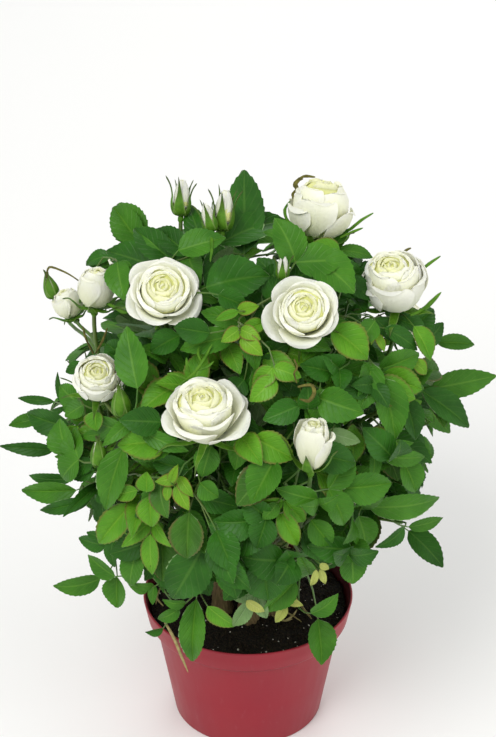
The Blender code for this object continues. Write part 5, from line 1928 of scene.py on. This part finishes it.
def dry_finish(name, dark, light):
    """Dead twigs and withered tips: brown, brittle and matt."""
    paint, tree = finish_of(name, 0.8, 0.2)
    coloured(tree, dark, (light, grain(tree, 0.003, 3.0), 1.0))
    relief(tree, 0.0002, (grain(tree, 0.0008, lengthwise=0.3), 1.0))
    return paint


# Each tint's upper side: light, deep, vein and, where it has one, its reddened margin.
LEAF_COLOURS = {
    DEEP: ("rose_leaf_deep", "#306816", "#214e10", "#5a8632", None),
    MID: ("rose_leaf_mid", "#477f1d", "#326614", "#6f9c38", None),
    LIGHT: ("rose_leaf_light", "#639b22", "#49841b", "#86b03c", "#66662c"),
    YOUNG: ("rose_leaf_young", "#78a524", "#5a8d1f", "#98bb48", "#6f4c2a"),
    PALE: ("rose_leaf_matt", "#7f9f68", "#638649", "#a0b98a", None),
    OLIVE: ("rose_leaf_olive", "#43751f", "#305916", "#6f9742", "#5f5a30"),
    YELLOWED: ("rose_leaf_yellowed", "#b3bb62", "#96a24a", "#d0d392", None),
}

# Each kind of petal, from the rim in: the colour at its lip and at its foot.
PETAL_COLOURS = {
    "outer": ("#f4f4e6", "#e8ebc8"),
    "inner": ("#f9f9e6", "#ecefbe"),
    "heart": ("#f3f3c8", "#dcdf88"),
}


# ---------------------------------------------------------------- small things set by nodes

def set_on(name, ground, particle, sizes, density, paint, seed, lumps, aligned):
    """Many small shapes set on a skin by Geometry Nodes, turned into one plain mesh."""
    tree = bpy.data.node_groups.new(name + "_setting", "GeometryNodeTree")
    values = {"Density": density, "Smallest": sizes[0], "Largest": sizes[1], "Lumpiness": lumps,
              "Seed": seed}
    tree.interface.new_socket("Geometry", in_out="INPUT", socket_type="NodeSocketGeometry")
    for label in values:
        kind = "NodeSocketInt" if label == "Seed" else "NodeSocketFloat"
        tree.interface.new_socket(label, in_out="INPUT", socket_type=kind)
    tree.interface.new_socket("Geometry", in_out="OUTPUT", socket_type="NodeSocketGeometry")
    entry = add_node(tree, "NodeGroupInput")
    spread = add_node(tree, "GeometryNodeDistributePointsOnFaces", {
        "Mesh": entry["Geometry"], "Density": entry["Density"], "Seed": entry["Seed"]})
    shape = add_node(tree, particle[0], particle[1])["Mesh"]
    size = add_node(tree, "FunctionNodeRandomValue", {
        2: entry["Smallest"], 3: entry["Largest"], "Seed": entry["Seed"]}, data_type="FLOAT")[1]
    tumble = add_node(tree, "FunctionNodeRandomValue", {
        1: (6.28, 6.28, 6.28), "Seed": entry["Seed"]}, data_type="FLOAT_VECTOR")[0]
    placed = add_node(tree, "GeometryNodeInstanceOnPoints", {
        "Points": spread["Points"], "Instance": shape,
        "Rotation": spread["Rotation"] if aligned else tumble, "Scale": size})["Instances"]
    real = add_node(tree, "GeometryNodeRealizeInstances", {"Geometry": placed})[0]
    noisy = add_node(tree, "ShaderNodeTexNoise", {"Scale": 500.0, "Detail": 1.0})
    centred = add_node(tree, "ShaderNodeVectorMath", {
        0: noisy["Color"], 1: (0.5, 0.5, 0.5)}, operation="SUBTRACT")[0]
    shift = add_node(tree, "ShaderNodeVectorMath", {
        0: centred, "Scale": entry["Lumpiness"]}, operation="SCALE")[0]
    moved = add_node(tree, "GeometryNodeSetPosition", {"Geometry": real, "Offset": shift})[0]
    soft = add_node(tree, "GeometryNodeSetShadeSmooth", {"Geometry": moved})[0]
    painted = add_node(tree, "GeometryNodeSetMaterial", {"Geometry": soft, "Material": paint})[0]
    add_node(tree, "NodeGroupOutput", {"Geometry": painted})
    maker = new_object(name + "_maker", ground)
    setting = maker.modifiers.new("setting", "NODES")
    setting.node_group = tree
    for item in tree.interface.items_tree:
        if item.name in values:
            setting[item.identifier] = values[item.name]
    evaluated = maker.evaluated_get(bpy.context.evaluated_depsgraph_get())
    mesh = bpy.data.meshes.new_from_object(evaluated)
    mesh.name = name
    bpy.data.objects.remove(maker)
    bpy.data.node_groups.remove(tree)
    return dress(name, mesh)


# ---------------------------------------------------------------- the dressed plant

def dress_foliage(crown):
    """Leaves by tint, their stalks, the blooms' petals and the green under them."""
    underside = leaf_underside("rose_leaf_underside", "#8ba674", "#6c8f54")
    stalks = Gathering()
    for tint, gathered in enumerate(gather_leaves(crown, stalks)):
        paints = [leaf_top(*LEAF_COLOURS[tint]), underside]
        gathered.piece(LEAF_COLOURS[tint][0].replace("rose_leaf", "leaves"), paints)
    rind = shoot_finish()
    stalks.piece("leaf_stalks", [rind])
    petals, green = gather_blooms()
    for kind, gathered in zip(PETAL_COLOURS, petals):
        gathered.piece("petals_" + kind, [petal_finish(kind + "_petal", *PETAL_COLOURS[kind])])
    green.piece("sepals_and_hips", [sepal_finish()])
    return rind


def dress_wood(crown, hearts, rind):
    """Stems, canes with their prickles, shoots and twigs."""
    stems, canes, shoots = gather_wood(crown, hearts)
    stems.piece("stems_bark", [stem_finish()], "wood", STEM_NODES)
    bark = cane_finish()
    cane_mesh = canes.piece("canes_bark", [bark], "green_bark", CANE_NODES).data
    shoots.piece("shoots_rind", [rind])
    strands = gather_strands()
    dry = dry_finish("withered_stalk", "#7f7542", "#b3a774")
    brown = dry_finish("withered_sepal", "#3a381c", "#7a7636")
    strands["dry"].piece("dead_twigs", [dry])
    strands["brown"].piece("withered_curls", [brown])
    strands["green"].piece("curled_tips", [sepal_finish()])
    prickle = ("GeometryNodeMeshCone", {"Vertices": 5, "Radius Top": 0.04, "Radius Bottom": 0.3,
                                        "Depth": 1.0})
    set_on("cane_prickles", cane_mesh, prickle, (0.0012, 0.0026), 9000.0, bark,
           LOOKS_SEED, 0.0, True)


def dress_pot():
    """The pot, the peat in it, and the crumbs and perlite on top."""
    pot = Gathering()
    pot.add(*pot_shape())
    pot.piece("pot_moulding", [pot_finish()], "red_plastic", ["pot"])
    bed = Gathering()
    bed.add(soil_shape())
    peat = peat_finish("damp_peat", "#0c0a07", "#1b1710")
    bed_mesh = bed.piece("peat_bed", [peat], "soil", ["soil"]).data
    top = bed_mesh.copy()
    edit = bmesh.new()
    edit.from_mesh(top)
    sides = [face for face in edit.faces if face.calc_center_median().z < SOIL_TOP - 0.003]
    bmesh.ops.delete(edit, geom=sides, context="FACES")
    edit.to_mesh(top)
    edit.free()
    lump = ("GeometryNodeMeshIcoSphere", {"Radius": 1.0, "Subdivisions": 2})
    crumb_peat = peat_finish("peat_crumbs", "#100d09", "#2a2218")
    set_on("peat_crumbs", top, lump, (0.0004, 0.0011), 90000.0, crumb_peat,
           LOOKS_SEED, 0.0012, False)
    set_on("perlite_grains", top, lump, (0.0002, 0.0006), 16000.0, perlite_finish(),
           LOOKS_SEED + 1, 0.0012, False)


# ---------------------------------------------------------------- floor, light and camera

FLOOR_SIZE = 6.0
SENSOR_WIDTH = 36.0
FRAME_HEIGHT = 737.0
FOCAL_PIXELS = 2394.0


def add_light(name, place, aim, size, power):
    """A soft area light that shines from a place towards another."""
    lamp = bpy.data.lights.new(name, "AREA")
    lamp.shape = "DISK"
    lamp.size = size
    lamp.energy = power
    thing = new_object(name, lamp)
    thing.location = place
    thing.rotation_euler = (Vector(place) - Vector(aim)).to_track_quat("Z", "Y").to_euler()


def stage_and_camera():
    """A pale floor, soft studio light and the camera before the plant's front."""
    scene = bpy.context.scene
    scene.view_settings.view_transform = "Standard"
    world = bpy.data.worlds.new("studio")
    world.use_nodes = True
    background = world.node_tree.nodes["Background"].inputs
    background["Color"].default_value = linear("#ffffff")
    background["Strength"].default_value = 0.62
    scene.world = world
    corners = [(FLOOR_SIZE * across, FLOOR_SIZE * back, 0.0)
               for across, back in ((-1, -1), (1, -1), (1, 1), (-1, 1))]
    floor_mesh = bpy.data.meshes.new("floor")
    floor_mesh.from_pydata(corners, [], [(0, 1, 2, 3)])
    floor_mesh.materials.append(finish_of("pale_floor", 0.9, Base_Color=linear("#f4f4f2"))[0])
    floor = new_object("floor", floor_mesh)
    middle = (0.0, 0.0, 0.2)
    add_light("key", (-0.7, -1.3, 1.7), middle, 1.2, 25.0)
    add_light("fill", (1.5, -0.9, 0.9), middle, 1.4, 7.0)
    add_light("back", (0.3, 1.5, 1.3), middle, 1.2, 9.0)
    lens = bpy.data.cameras.new("camera")
    lens.sensor_width = SENSOR_WIDTH
    lens.lens = FOCAL_PIXELS / FRAME_HEIGHT * SENSOR_WIDTH
    camera = new_object("camera", lens)
    camera.location = VIEW_MIDDLE + TOWARD * VIEW_DISTANCE
    camera.rotation_euler = TOWARD.to_track_quat("Z", "Y").to_euler()
    scene.camera = camera


def dress_everything():
    """The whole plant and its surroundings."""
    crown, hearts = grow()
    FLOWERS.update(EXTRA_BUDS)
    rind = dress_foliage(crown)
    dress_wood(crown, hearts, rind)
    dress_pot()
    stage_and_camera()


dress_everything()
